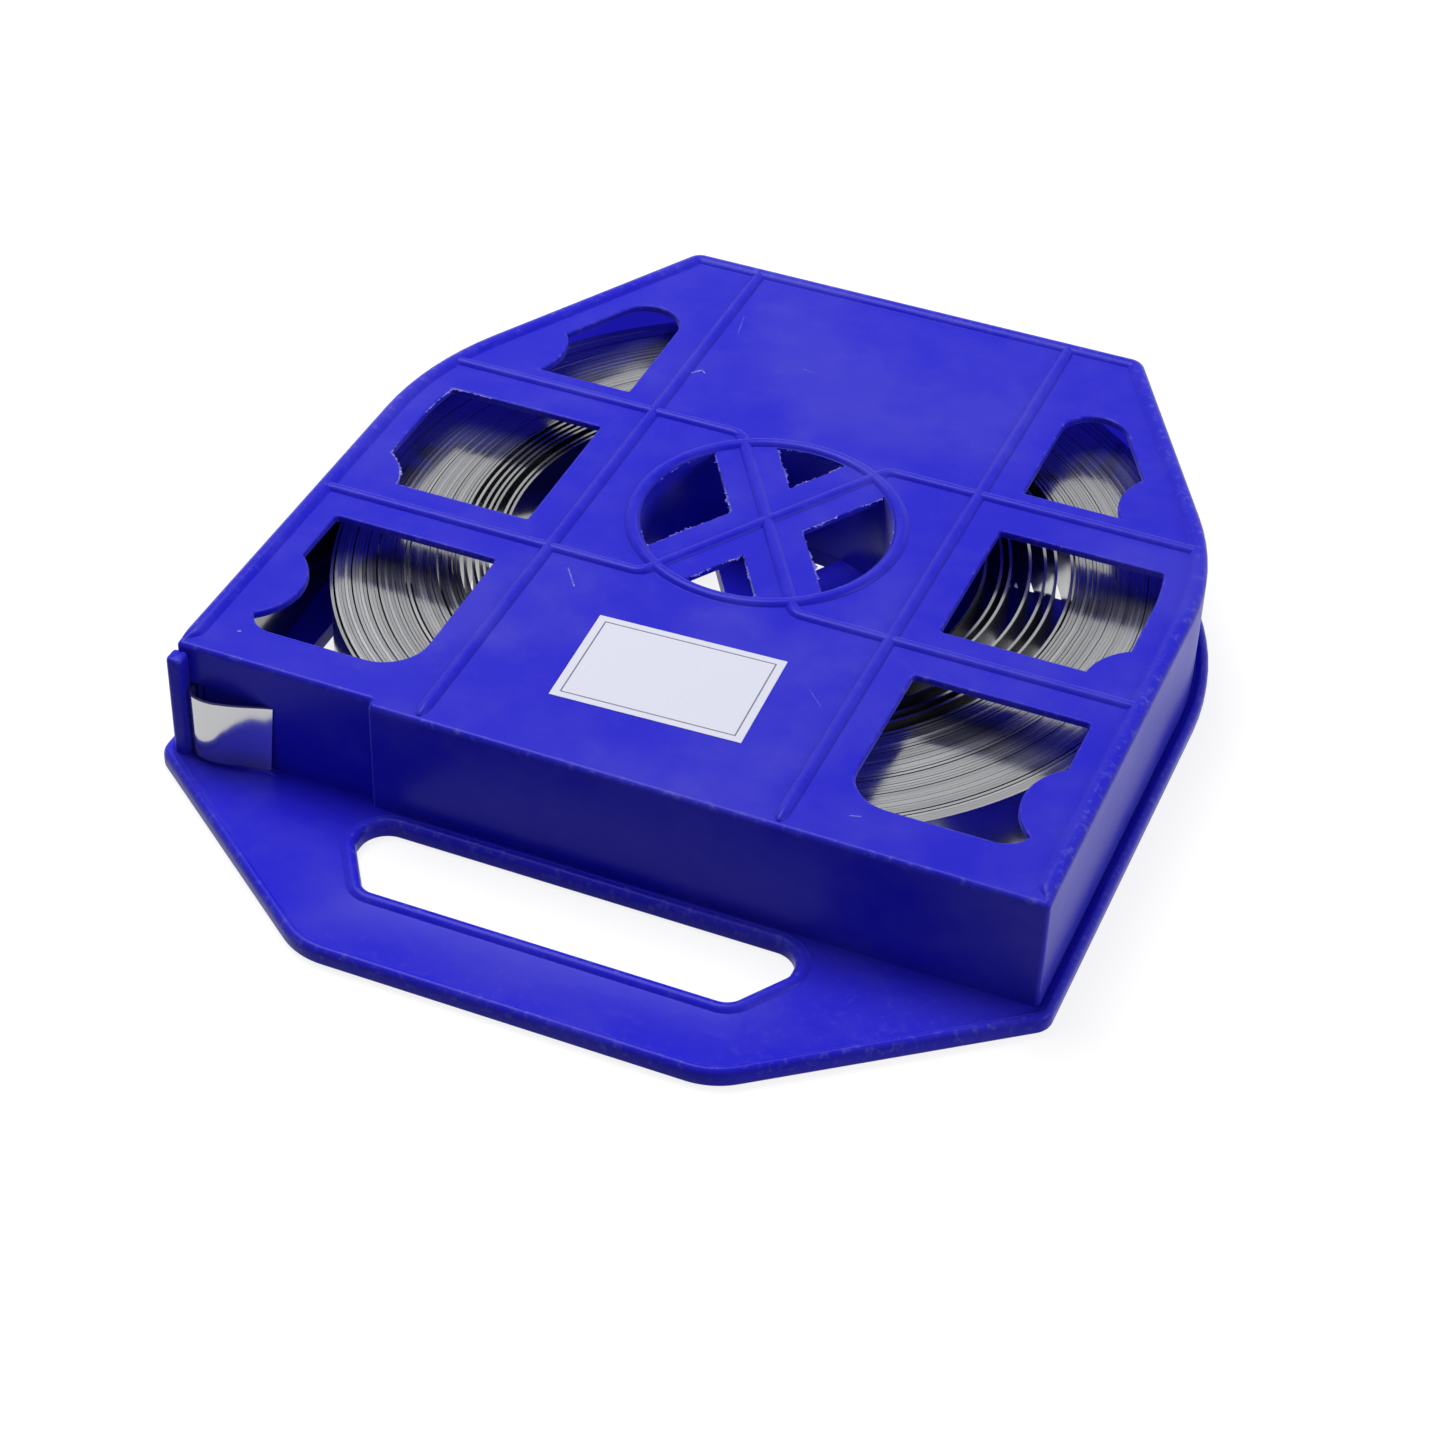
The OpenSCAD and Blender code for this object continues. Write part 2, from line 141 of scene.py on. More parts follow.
def unit(v):
    return v / np.linalg.norm(v, axis=-1, keepdims=True)


def left_of(v):
    return np.stack([-v[..., 1], v[..., 0]], -1)


class Outline:
    """A closed outline of corners (x, y, radius), counter-clockwise, sampled along its arcs.

    A sample of a corner is the centre of its arc plus the arc's radius in the sample's
    direction. Moved inwards by an inset, an outer corner loses it from its radius, down to
    nothing, and an inner corner gains it.
    """

    def __init__(self, corners, step=6):
        corners = np.array(corners, float)
        self.points, self.radius = corners[:, :2], corners[:, 2]
        u = unit(self.points - np.roll(self.points, 1, 0))
        v = np.roll(u, -1, 0)
        turn = np.arctan2(u[:, 0] * v[:, 1] - u[:, 1] * v[:, 0], (u * v).sum(1))
        self.side = np.where(turn > 0, 1.0, -1.0)
        self.toward = (left_of(u) + left_of(v)) / (1 + (u * v).sum(1))[:, None]
        start = -left_of(u) * self.side[:, None]
        steps = np.where(self.radius > 0, np.ceil(np.degrees(abs(turn)) / step), 0).astype(int)
        steps[(abs(turn) < 1e-6)] = 0
        self.which = np.repeat(np.arange(len(corners)), steps + 1)
        first = np.repeat(np.cumsum(steps + 1) - steps - 1, steps + 1)
        share = (np.arange(len(self.which)) - first) / np.maximum(steps[self.which], 1)
        angle = np.arctan2(start[:, 1], start[:, 0])[self.which] + turn[self.which] * share
        self.direction = np.stack([np.cos(angle), np.sin(angle)], 1)

    def at(self, inset=0.0):
        """The samples moved inwards: inset is one number, or an array with a row per ring."""
        inset = np.asarray(inset, float)[..., None] * np.ones(len(self.which))
        w = self.which
        radius = np.maximum(self.radius[w] - self.side[w] * inset, 0)
        reach = inset + self.side[w] * radius
        centre = self.points[w] + self.toward[w] * reach[..., None]
        return centre + self.direction * radius[..., None]


def widened(loop, out):
    """A closed loop of points moved outwards, each along the mean normal of its two edges."""
    ahead = unit(np.roll(loop, -1, 0) - loop)
    behind = np.roll(ahead, 1, 0)
    mitre = (left_of(ahead) + left_of(behind)) / (1 + (ahead * behind).sum(1))[:, None]
    length = np.linalg.norm(mitre, axis=1, keepdims=True)
    return loop - out * mitre * np.minimum(1, 2.2 / length)


def bitten(loop, centre, radius, steps=26):
    """A closed loop with a disc taken out of it: the samples in the disc give way to its arc."""
    rel = loop - centre
    inside = (rel**2).sum(1) < radius**2
    if not inside.any():
        return loop
    first = np.flatnonzero(inside & ~np.roll(inside, 1))[0]
    loop, rel, inside = (np.roll(a, -first, 0) for a in (loop, rel, inside))
    kept = np.flatnonzero(~inside)
    run = slice(kept[0], kept[-1] + 1)
    enter = crossing(loop[-1], loop[0], centre, radius)
    leave = crossing(loop[kept[0] - 1], loop[kept[0]], centre, radius)
    a0 = math.atan2(*(enter - centre)[::-1])
    a1 = math.atan2(*(leave - centre)[::-1])
    turn = -((a0 - a1) % (2 * math.pi))
    a = a0 + turn * np.linspace(0, 1, steps)
    arc = centre + radius * np.stack([np.cos(a), np.sin(a)], 1)
    return np.concatenate([arc, loop[run]])


def crossing(p, q, centre, radius):
    """Where the segment from p to q meets a circle: the root of a square in between 0 and 1."""
    d, f = q - p, p - centre
    a, b, c = d @ d, 2 * f @ d, f @ f - radius * radius
    roots = [(-b + s * math.sqrt(b * b - 4 * a * c)) / (2 * a) for s in (-1, 1)]
    t = min(roots, key=lambda r: abs(r - 0.5))
    return p + t * d


class Shell:
    """A mesh gathered from grids and flat fills, whose shared rings are merged at the end.

    Each point has a number for its scuffs, burrs and painted light: 2 on a pale burr, 1 on a
    scuffed edge, -1 in a crease with painted shade, and -2 on the inner side of a plate, with painted shade and a
    painted glow for the daylight that comes through it."""

    def __init__(self):
        self.points, self.faces, self.wear, self.count = [], [], [], 0

    def add(self, points, faces, wear):
        points = np.asarray(points, float).reshape(-1, 3)
        self.points.append(points)
        self.faces.append(np.asarray(faces) + self.count)
        self.wear.append(np.broadcast_to(wear, len(points)).astype(float))
        self.count += len(points)

    def grid(self, points, wear=0.0, wrap_rows=False, wrap_columns=True):
        """Quads between neighbours of a grid [row, column, xyz]; wear is a number per row, or
        a grid itself."""
        rows, columns = points.shape[:2]
        r = np.arange(rows if wrap_rows else rows - 1)[:, None]
        c = np.arange(columns if wrap_columns else columns - 1)[None, :]
        r1, c1 = (r + 1) % rows, (c + 1) % columns
        quads = np.stack(
            [r * columns + c, r * columns + c1, r1 * columns + c1, r1 * columns + c], -1
        )
        wear = wear if np.ndim(wear) == 2 else np.reshape(wear, (-1, 1))
        wear = np.broadcast_to(wear, (rows, columns))
        self.add(points, quads.reshape(-1, 4), wear.reshape(-1))

    def fill(self, loops, z, wear=0.0):
        """A flat face between closed loops: the triangles of a net through their points whose
        middles are inside an odd number of loops."""
        ends = np.cumsum([len(loop) for loop in loops])
        points = np.concatenate(loops)
        after = np.arange(1, len(points) + 1)
        after[ends - 1] = ends - [len(loop) for loop in loops]
        edges = np.stack([np.arange(len(points)), after], 1)
        net = delaunay_2d_cdt([Vector(p) for p in points], edges.tolist(), [], 0, 1e-7)
        flat = np.array([v[:] for v in net[0]])
        triangles = np.array([t for t in net[2] if len(t) == 3])
        middle = flat[triangles].mean(1)[:, None, :]
        a, b = points[edges[:, 0]], points[edges[:, 1]]
        level = (a[:, 1] > middle[..., 1]) != (b[:, 1] > middle[..., 1])
        rise = np.where(a[:, 1] == b[:, 1], 1.0, b[:, 1] - a[:, 1])
        at_x = a[:, 0] + (b[:, 0] - a[:, 0]) * (middle[..., 1] - a[:, 1]) / rise
        inside = ((level & (middle[..., 0] < at_x)).sum(1) % 2) == 1
        points3 = np.column_stack([flat, np.full(len(flat), z)])
        self.add(points3, triangles[inside], wear)

    def sweep(self, path, section, shrink=None, wear=0.0):
        """A closed section [across, up] carried along a path of (x, y, z) in the level plane:
        each point is the path's plus across times its left normal, plus up. Shrink scales the
        section at each sample, and closes the ends where it reaches nothing."""
        path = np.asarray(path, float)
        along = unit(np.gradient(path[:, :2], axis=0))
        normal = left_of(along)
        shrink = np.ones(len(path)) if shrink is None else shrink
        across = shrink[:, None] * section[None, :, 0]
        up = shrink[:, None] * section[None, :, 1]
        xy = path[:, None, :2] + across[..., None] * normal[:, None, :]
        z = path[:, None, 2] + up
        self.grid(np.concatenate([xy, z[..., None]], -1), wear)

    def make(self, name, material, sharp=40):
        """The object, with its rings merged, its faces turned outwards, and its normals smooth
        except where two faces meet at more than the sharp angle."""
        mesh = bpy.data.meshes.new(name)
        faces = [f for block in self.faces for f in block.tolist()]
        mesh.from_pydata((np.concatenate(self.points) * MM).tolist(), [], faces)
        wear = mesh.attributes.new("wear", "FLOAT", "POINT")
        wear.data.foreach_set("value", np.concatenate(self.wear).astype(np.float32))
        work = bmesh.new()
        work.from_mesh(mesh)
        bmesh.ops.remove_doubles(work, verts=work.verts, dist=2e-6)
        bmesh.ops.dissolve_degenerate(work, edges=work.edges, dist=1e-7)
        bmesh.ops.recalc_face_normals(work, faces=work.faces)
        work.to_mesh(mesh)
        work.free()
        mesh.shade_smooth()
        mesh.set_sharp_from_angle(angle=math.radians(sharp))
        mesh.materials.append(material)
        piece = bpy.data.objects.new(name, mesh)
        bpy.context.scene.collection.objects.link(piece)
        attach(piece, "root")
        return piece


def ring(loop, z):
    return np.concatenate([loop, np.full(loop.shape[:-1] + (1,), float(z))], -1)


def bead_curve(width, height, fillet, steps=9):
    """Half of a bead's section, from its foot to its crown, as [distance from the crown line,
    height]: a fillet whose arc is tangent to the plate and to the circle of the crown."""
    cap = (width**2 / 4 + height**2) / (2 * height)
    drop = fillet + cap - height
    foot = math.sqrt((cap + fillet) ** 2 - drop**2)
    slope = math.atan2(foot, drop)
    a = np.linspace(0, slope, 4)[:-1]
    flare = np.stack([foot - fillet * np.sin(a), fillet * (1 - np.cos(a))], 1)
    b = np.linspace(slope, 0, steps)
    crown = np.stack([cap * np.sin(b), height - cap + cap * np.cos(b)], 1)
    return np.concatenate([flare, crown])


def bead_section(width, height, fillet=0.35, root=0.4):
    """A bead's whole section, closed below the plate that carries it."""
    half = bead_curve(width, height, fillet)
    left = half[::-1] * [-1, 1]
    foot = half[0, 0]
    return np.concatenate([half, left[1:], [[-foot, -root], [foot, -root]]])


def bead_wear(section):
    """A number per point of a bead's section: painted shade at both feet, and a little wear above."""
    return np.interp(section[:, 1], [0.0, 0.12, 0.45], [-1.0, -0.7, 0.15])[None, :]


def rounded_path(points, radius, z, step=4.0):
    """A path of straight runs joined by arcs, sampled every few degrees and millimetres."""
    points = [np.array(p, float) for p in points]
    path = [points[0]]
    for before, here, after in zip(points, points[1:], points[2:]):
        u, v = unit(here - before), unit(after - here)
        turn = math.atan2(u[0] * v[1] - u[1] * v[0], u @ v)
        cut = radius * math.tan(abs(turn) / 2)
        centre = here - cut * u + math.copysign(radius, turn) * left_of(u)
        spoke = (here - cut * u) - centre
        for a in np.linspace(0, turn, 9):
            c, s = math.cos(a), math.sin(a)
            path.append(centre + [c * spoke[0] - s * spoke[1], s * spoke[0] + c * spoke[1]])
    path.append(points[-1])
    out = [path[0]]
    for p, q in zip(path, path[1:]):
        n = max(1, round(float(np.linalg.norm(q - p)) / step))
        out += [p + (q - p) * k / n for k in range(1, n + 1)]
    return ring(np.array(out), z)


def dome_ends(path, start, end):
    """How far a section is shrunk at each sample, so that a rib ends in a quarter round of
    the given length: the square root of one less the square of what is left of it."""
    s = np.concatenate([[0], np.cumsum(np.linalg.norm(np.diff(path[:, :2], axis=0), axis=1))])
    shrink = np.ones(len(s))
    for gone, length in ((s, start), (s[-1] - s, end)):
        if length:
            shrink *= np.sqrt(1 - (1 - np.minimum(gone / length, 1)) ** 2)
    return shrink


def denser_ends(path, start, end):
    """The path with extra samples in its rounded ends."""
    s = np.concatenate([[0], np.cumsum(np.linalg.norm(np.diff(path[:, :2], axis=0), axis=1))])
    near = np.array([0.02, 0.08, 0.2, 0.38, 0.62, 1.0])
    wanted = [s]
    if start:
        wanted.append(near * start)
    if end:
        wanted.append(s[-1] - near * end)
    wanted = np.unique(np.concatenate(wanted))
    return np.stack([np.interp(wanted, s, path[:, k]) for k in range(3)], 1)


# ---------------------------------------------------------------- openings in both plates


def window_loops():
    """The three windows on the +X side, then their mirror images, all counter-clockwise."""
    x0, x1 = 57.6, SIDE_X - 11.4
    front = Outline([(x0, -95.5, 12), (x1, -95.5, 8), (x1, -44.8, 1), (x0, -44.8, 1)]).at()
    bend_y, mid_x, mid_r = 5.35, SIDE_X - 11.1, KNUCKLE_R - 11.1
    y = np.linspace(bend_y, 21.5, 7)[1:]
    curve = [(mid_x - mid_r + math.sqrt(mid_r**2 - (v - bend_y) ** 2), v, 0) for v in y]
    curve[-1] = (*curve[-1][:2], 0.8)
    middle = Outline(
        [(x0, -25.5, 0.8), (mid_x, -25.5, 0.8), (mid_x, bend_y, 0), *curve, (x0, 21.5, 0.8)]
    ).at()
    tip = KNUCKLE_Y + (SIDE_X - x0) * math.tan(SLANT) - 11.4 / math.cos(SLANT)
    back_x = x0 + (tip - 40.3) / math.tan(SLANT)
    back = Outline([(x0, 40.3, 1), (back_x, 40.3, 1), (x0, tip, 9.4)], 5).at()
    lobes = [(SIDE_X - 1, -77.2), (SIDE_X - 2, -27.7), (SIDE_X - 16, 49.5)]
    right = [bitten(w, np.array(c), 17.2) for w, c in zip((front, middle, back), lobes)]
    return right + [w[::-1] * [-1, 1] for w in right]


def hub_loops():
    """The four openings between the spokes: each is bounded by two spoke sides, which meet on
    an axis, and by the arc of the hub hole between them."""
    loops = []
    half = SPOKE_W / 2
    lean = math.asin(half / HUB_R)
    for middle, reach in ((0, SPOKE_A), (math.pi / 2, math.pi / 2 - SPOKE_A)):
        apex = half / math.sin(reach)
        a = np.linspace(-(reach - lean), reach - lean, 2 + round(math.degrees(reach) / 2))
        arc = HUB_R * np.stack([np.cos(a), np.sin(a)], 1)
        loop = np.concatenate([[[apex, 0]], arc])
        for turn in (middle, middle + math.pi):
            c, s = math.cos(turn), math.sin(turn)
            loops.append(loop @ np.array([[c, s], [-s, c]]))
    return loops


WINDOWS = window_loops()
HUB_OPENINGS = hub_loops()


def edge_rows(top, under, round_r):
    """Rings down the side of an opening, as (distance outwards, height, wear): a quarter round
    at the top, a straight side, and a small chamfer below."""
    a = np.linspace(0, math.pi / 2, 5)
    arc = [(round_r * (1 - math.sin(t)), top - round_r * (1 - math.cos(t)), 0.8) for t in a]
    return [(round_r + 0.25, top, 0.1), *arc, (0, under + 0.2, 0.0), (0.2, under, 0.0)]


def cut_openings(shell, loops, top, under, round_r):
    """Sides of the openings of a plate. Gives their loops on its upper and its lower face."""
    upper, lower = [], []
    for loop in loops:
        rows = edge_rows(top, under, round_r)
        rings = [widened(loop, out) for out, _, _ in rows]
        grid = np.stack([ring(r, z) for r, (_, z, _) in zip(rings, rows)])
        shell.grid(grid, [w for _, _, w in rows])
        upper.append(rings[0])
        lower.append(rings[-1])
    return upper, lower


# ---------------------------------------------------------------- cover


def cover_outline():
    """The cover's outline, with extra samples where the rim bead fades out at the front and
    at both jambs of the slot that the band comes out of."""
    recess_y = RECESS_D - FRONT_Y
    fade = (6.0, 4.6, 3.4, 2.4, 1.6)
    right = [(SIDE_X, -FRONT_Y + d, 0) for d in reversed(fade)]
    left = [(-SIDE_X, recess_y + d, 0) for d in fade]
    lip_x = BEND_R - TAIL_X
    return Outline(
        [
            (SIDE_X, -FRONT_Y, 1.3),
            *right,
            (SIDE_X, KNUCKLE_Y, KNUCKLE_R),
            (BACK_X, BACK_Y, 5),
            (-BACK_X, BACK_Y, 5),
            (-SIDE_X, KNUCKLE_Y, KNUCKLE_R),
            *left,
            (-SIDE_X, recess_y, 1.2),
            (SLOT_X0 - 0.001, recess_y, 0),
            (SLOT_X0, recess_y, 0),
            (lip_x, recess_y, 0),
            (lip_x + 0.001, recess_y, 0),
            (-RECESS_X, recess_y, 0.9),
            (-RECESS_X, -FRONT_Y, 1.3),
        ],
        4,
    )


def build_cover(material):
    shell = Shell()
    outline = cover_outline()
    xy = outline.at()
    fade = np.clip((xy[:, 1] + FRONT_Y - np.where(xy[:, 0] < 0, RECESS_D, 0) - 1.3) / 4.2, 0, 1)
    bead = np.where(abs(xy[:, 0]) > BACK_X - 8, fade * fade * (3 - 2 * fade), 0.0)
    bead = np.where(xy[:, 1] > 0, 1.0, bead)
    in_slot = (xy[:, 0] > SLOT_X0 - 5e-4) & (xy[:, 0] < BEND_R - TAIL_X + 5e-4)
    bottom = np.where(in_slot & (xy[:, 1] < 0), SLOT_TOP, BASE_T)

    # Rings from the wall's foot, over the rounded edge or the rim bead, to the flat plate
    edge_r, a = 1.3, np.linspace(0, math.pi / 2, 7)
    plain_in = np.concatenate([edge_r * (1 - np.cos(a)), np.linspace(edge_r, 1.55, 13)[1:]])
    plain_up = np.concatenate([edge_r * (np.sin(a) - 1), np.zeros(12)])
    half = bead_curve(RIM_W, RIM_H, 0.4)[::-1]
    crown = RIM_W / 2
    bead_in = np.concatenate([crown * (1 - np.cos(a)), crown + half[1:, 0]])
    bead_up = np.concatenate([RIM_H - 2.1 * (1 - np.sin(a)), half[1:, 1]])
    bead_in = np.append(bead_in, bead_in[-1] + 0.3)
    bead_up = np.append(bead_up, 0.0)
    n = min(len(plain_in), len(bead_in))
    plain_in, plain_up = plain_in[-n:], plain_up[-n:]
    bead_in, bead_up = bead_in[-n:], bead_up[-n:]
    inset = plain_in[:, None] * (1 - bead) + bead_in[:, None] * bead
    height = PLATE_Z + plain_up[:, None] * (1 - bead) + bead_up[:, None] * bead
    flat = np.stack([outline_column(outline, row) for row in inset])
    over = np.concatenate([flat, height[..., None]], -1)
    foot = np.stack([ring_to(xy, bottom), ring_to(xy, np.full(len(xy), PLATE_UNDER))])
    inner = outline.at(WALL_T)
    inner_top, inner_foot = ring(inner, PLATE_UNDER), ring_to(inner, bottom)
    wear = np.concatenate([[0, 0], np.interp(np.arange(n), [0, 4, 9, n - 1], [0.5, 1, 0.35, 0])])
    shell.grid(np.concatenate([foot, over]), wear)
    # Painted light on the inner side of the walls: painted shade all over, and a painted glow that rises from none at
    # the front to full at the back.
    inner_painted_light = -1.5 - 0.5 * np.clip(xy[:, 1] / 60, -1, 1)
    shell.grid(np.stack([inner_top, inner_foot, foot[0]]), np.stack([inner_painted_light, inner_painted_light, 0 * inner_painted_light]))

    upper, lower = cut_openings(shell, WINDOWS, PLATE_Z, PLATE_UNDER, 0.55)
    hub_upper, hub_lower = cut_openings(shell, HUB_OPENINGS, PLATE_Z, PLATE_UNDER, 0.3)
    shell.fill([over[-1][:, :2], *upper, *hub_upper], PLATE_Z)
    # The plate's underside, with painted shade and a full painted glow for the daylight through the plate.
    shell.fill([inner, *lower, *hub_lower], PLATE_UNDER, -2)
    add_ribs(shell)
    add_hub_tube(shell)
    add_burrs(shell)
    add_lip_and_post(shell)
    piece = shell.make("cover_moulding", material)
    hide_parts("cover")
    return piece


def outline_column(outline, inset):
    """The outline's samples, each moved inwards by its own inset."""
    w = outline.which
    radius = np.maximum(outline.radius[w] - outline.side[w] * inset, 0)
    reach = inset + outline.side[w] * radius
    return outline.points[w] + outline.toward[w] * reach[:, None] + outline.direction * radius[:, None]


def ring_to(loop, heights):
    return np.column_stack([loop, heights])


def add_ribs(shell):
    """Ribs along and across the plate. A cross rib bends at the hub into a spoke's rib and
    leaves it on the other side, as two long Z-shaped paths."""
    section = bead_section(RIB_W, RIB_H)
    wear = bead_wear(section)
    side_x = SIDE_X - RIM_W / 2
    knuckle = np.array([SIDE_X - KNUCKLE_R, KNUCKLE_Y - KNUCKLE_R * math.tan((math.pi / 2 - SLANT) / 2)])
    back_x = knuckle[0] + math.sqrt((KNUCKLE_R - RIM_W / 2) ** 2 - (CROSS_RIB_Y - knuckle[1]) ** 2)
    for x in (LONG_RIB_X, -LONG_RIB_X):
        path = rounded_path([(x, -FRONT_Y + 1.5), (x, BACK_Y - 2.2)], 3, PLATE_Z)
        path = denser_ends(path, 5, 0)
        shell.sweep(path, section, dome_ends(path, 5, 0), wear)
    knee_x = CROSS_RIB_Y / math.tan(SPOKE_A)
    for s, drop in ((1, 0.04), (-1, 0.07)):
        points = z_path(s, side_x, back_x, knee_x)
        path = rounded_path(points, 4.5, PLATE_Z - drop)
        shell.sweep(path, section, None, wear)
        cap_ends(shell, path, section)
    a = np.linspace(0, 2 * math.pi, 121)[:-1]
    crown = HUB_R + HUB_BEAD_W / 2 + 0.1
    hub = bead_section(HUB_BEAD_W - 0.3, RIB_H + 0.02)
    r = crown + hub[:, 0]
    grid = np.stack(
        [r * np.cos(a)[:, None], r * np.sin(a)[:, None], np.broadcast_to(PLATE_Z + hub[:, 1], (len(a), len(r)))],
        -1,
    )
    shell.grid(grid, bead_wear(hub), wrap_rows=True)


def z_path(s, side_x, back_x, knee_x):
    """Cross rib at the front on one side, spoke, and cross rib at the back on the other."""
    y = CROSS_RIB_Y
    return [(-s * side_x, -y), (-s * knee_x, -y), (s * knee_x, y), (s * back_x, y)]


def cap_ends(shell, path, section):
    """Flat ends of a swept rib, where it is buried in a bead."""
    along = unit(np.gradient(path[:, :2], axis=0))
    for k in (0, -1):
        normal = left_of(along[k])
        xy = path[k, :2] + section[:, :1] * normal
        points = np.column_stack([xy, path[k, 2] + section[:, 1]])
        middle = points.mean(0)
        n = len(points)
        fan = np.stack([np.arange(n), (np.arange(n) + 1) % n, np.full(n, n)], 1)
        shell.add(np.vstack([points, middle]), fan, 0.0)


def add_hub_tube(shell):
    """The tube that the coil is wound round: a rectangle turned round the hub axis."""
    a = np.linspace(0, 2 * math.pi, 121)[:-1]
    section = np.array(
        [[HUB_R, FLOOR_Z], [HUB_R, PLATE_UNDER + 0.1], [HUB_R + WALL_T, PLATE_UNDER + 0.1], [HUB_R + WALL_T, FLOOR_Z]]
    )
    r = section[:, 0][None, :]
    grid = np.stack(
        [r * np.cos(a)[:, None], r * np.sin(a)[:, None], np.broadcast_to(section[:, 1], (len(a), 4))], -1
    )
    shell.grid(grid, 0.0, wrap_rows=True)


def add_burrs(shell):
    """Ragged flakes left by the mould on the edges of the hub openings, and on one side of the
    middle left window: a thin strip that stands out from the edge by a slow sum of waves of
    seeded phases times a quick random one, where that passes a bar."""
    rng = np.random.default_rng(5)
    jobs = [(loop, 1.1, -0.35, lambda xy: np.linalg.norm(xy, axis=1) < HUB_R - 0.5) for loop in HUB_OPENINGS]
    jobs += [(loop, 0.8, 0.55, lambda xy: np.linalg.norm(xy, axis=1) > HUB_R - 0.6) for loop in HUB_OPENINGS]
    jobs.append((WINDOWS[4], 0.7, -0.1, lambda xy: xy[:, 0] < -90))
    for loop, reach, bar, where in jobs:
        closed = np.vstack([loop, loop[:1]])
        s = np.concatenate([[0], np.cumsum(np.linalg.norm(np.diff(closed, axis=0), axis=1))])
        n = int(s[-1] / 0.22)
        at = np.linspace(0, s[-1], n, endpoint=False)
        line = np.stack([np.interp(at, s, closed[:, k]) for k in range(2)], 1)
        inward = left_of(unit(np.roll(line, -1, 0) - np.roll(line, 1, 0)))
        count, phase = rng.integers([3, 11, 47], [6, 23, 90]), rng.uniform(0, 6.3, 3)
        wave = np.sin(at[:, None] / s[-1] * 2 * math.pi * count + phase) @ [0.7, 0.45, 0.3]
        quick = rng.uniform(0.15, 1.0, n) * rng.uniform(0.4, 1.0, n)
        out = np.clip((wave - bar) * quick, 0, 1) * reach * where(line)
        here = 0.04 + out[:, None] * [0, 1, 1, 0] - np.array([0.45, 0, 0, 0.45])
        height = PLATE_Z - 0.42 + np.array([0.3, 0.22, 0.1, 0.0]) + 0.0 * here
        xy = line[:, None, :] + here[..., None] * inward[:, None, :]
        grid = np.concatenate([xy, height[..., None]], -1)
        shell.grid(grid, 2.0 * (out[:, None] > 0.04) + 0.0 * here, wrap_rows=True)


def add_lip_and_post(shell):
    """The curled lip that the band bends round, up to the top of the slot, and the post beside
    it on the corner."""
    centre = np.array([BEND_R - TAIL_X, BEND_R - TAIL_Y])
    a = np.radians(np.linspace(270, 180, 10))
    outer, inner = 2.8, 1.2
    arc = np.stack([np.cos(a), np.sin(a)], 1)
    lip = np.concatenate(
        [
            [centre + [0.4, -outer]],
            centre + outer * arc,
            [centre + [-outer, 3]],
            [centre + [-inner, 3]],
            (centre + inner * arc)[::-1],
            [centre + [0.4, -inner]],
        ]
    )
    prism(shell, lip, [(0, FLOOR_Z), (0, SLOT_TOP)])
    post = Outline(
        [
            (-116.3, -113.5, 1.6),
            (-111.75, -113.5, 1.3),
            (-111.75, -110.2, 0.4),
            (-112.4, -108.5, 0.3),
            (-116.3, -108.5, 1.2),
        ],
        15,
    )
    top = PLATE_Z - 2.3
    rows = [(0, BASE_T - 0.2), (0, top - 1), (0.15, top - 0.5), (0.45, top - 0.15), (0.9, top)]
    rings = [ring(post.at(inset), z) for inset, z in rows]
    shell.grid(np.stack(rings), [0, 0.3, 0.9, 1, 0.8])
    shell.fill([rings[0][:, :2]], rows[0][1])
    shell.fill([rings[-1][:, :2]], rows[-1][1])


def prism(shell, loop, rows):
    """A loop carried straight up through rows of (distance outwards, height), and closed."""
    rings = [widened(loop, out) if out else loop for out, _ in rows]
    shell.grid(np.stack([ring(r, z) for r, (_, z) in zip(rings, rows)]))
    shell.fill([rings[0]], rows[0][1])
    shell.fill([rings[-1]], rows[-1][1])


# ---------------------------------------------------------------- base


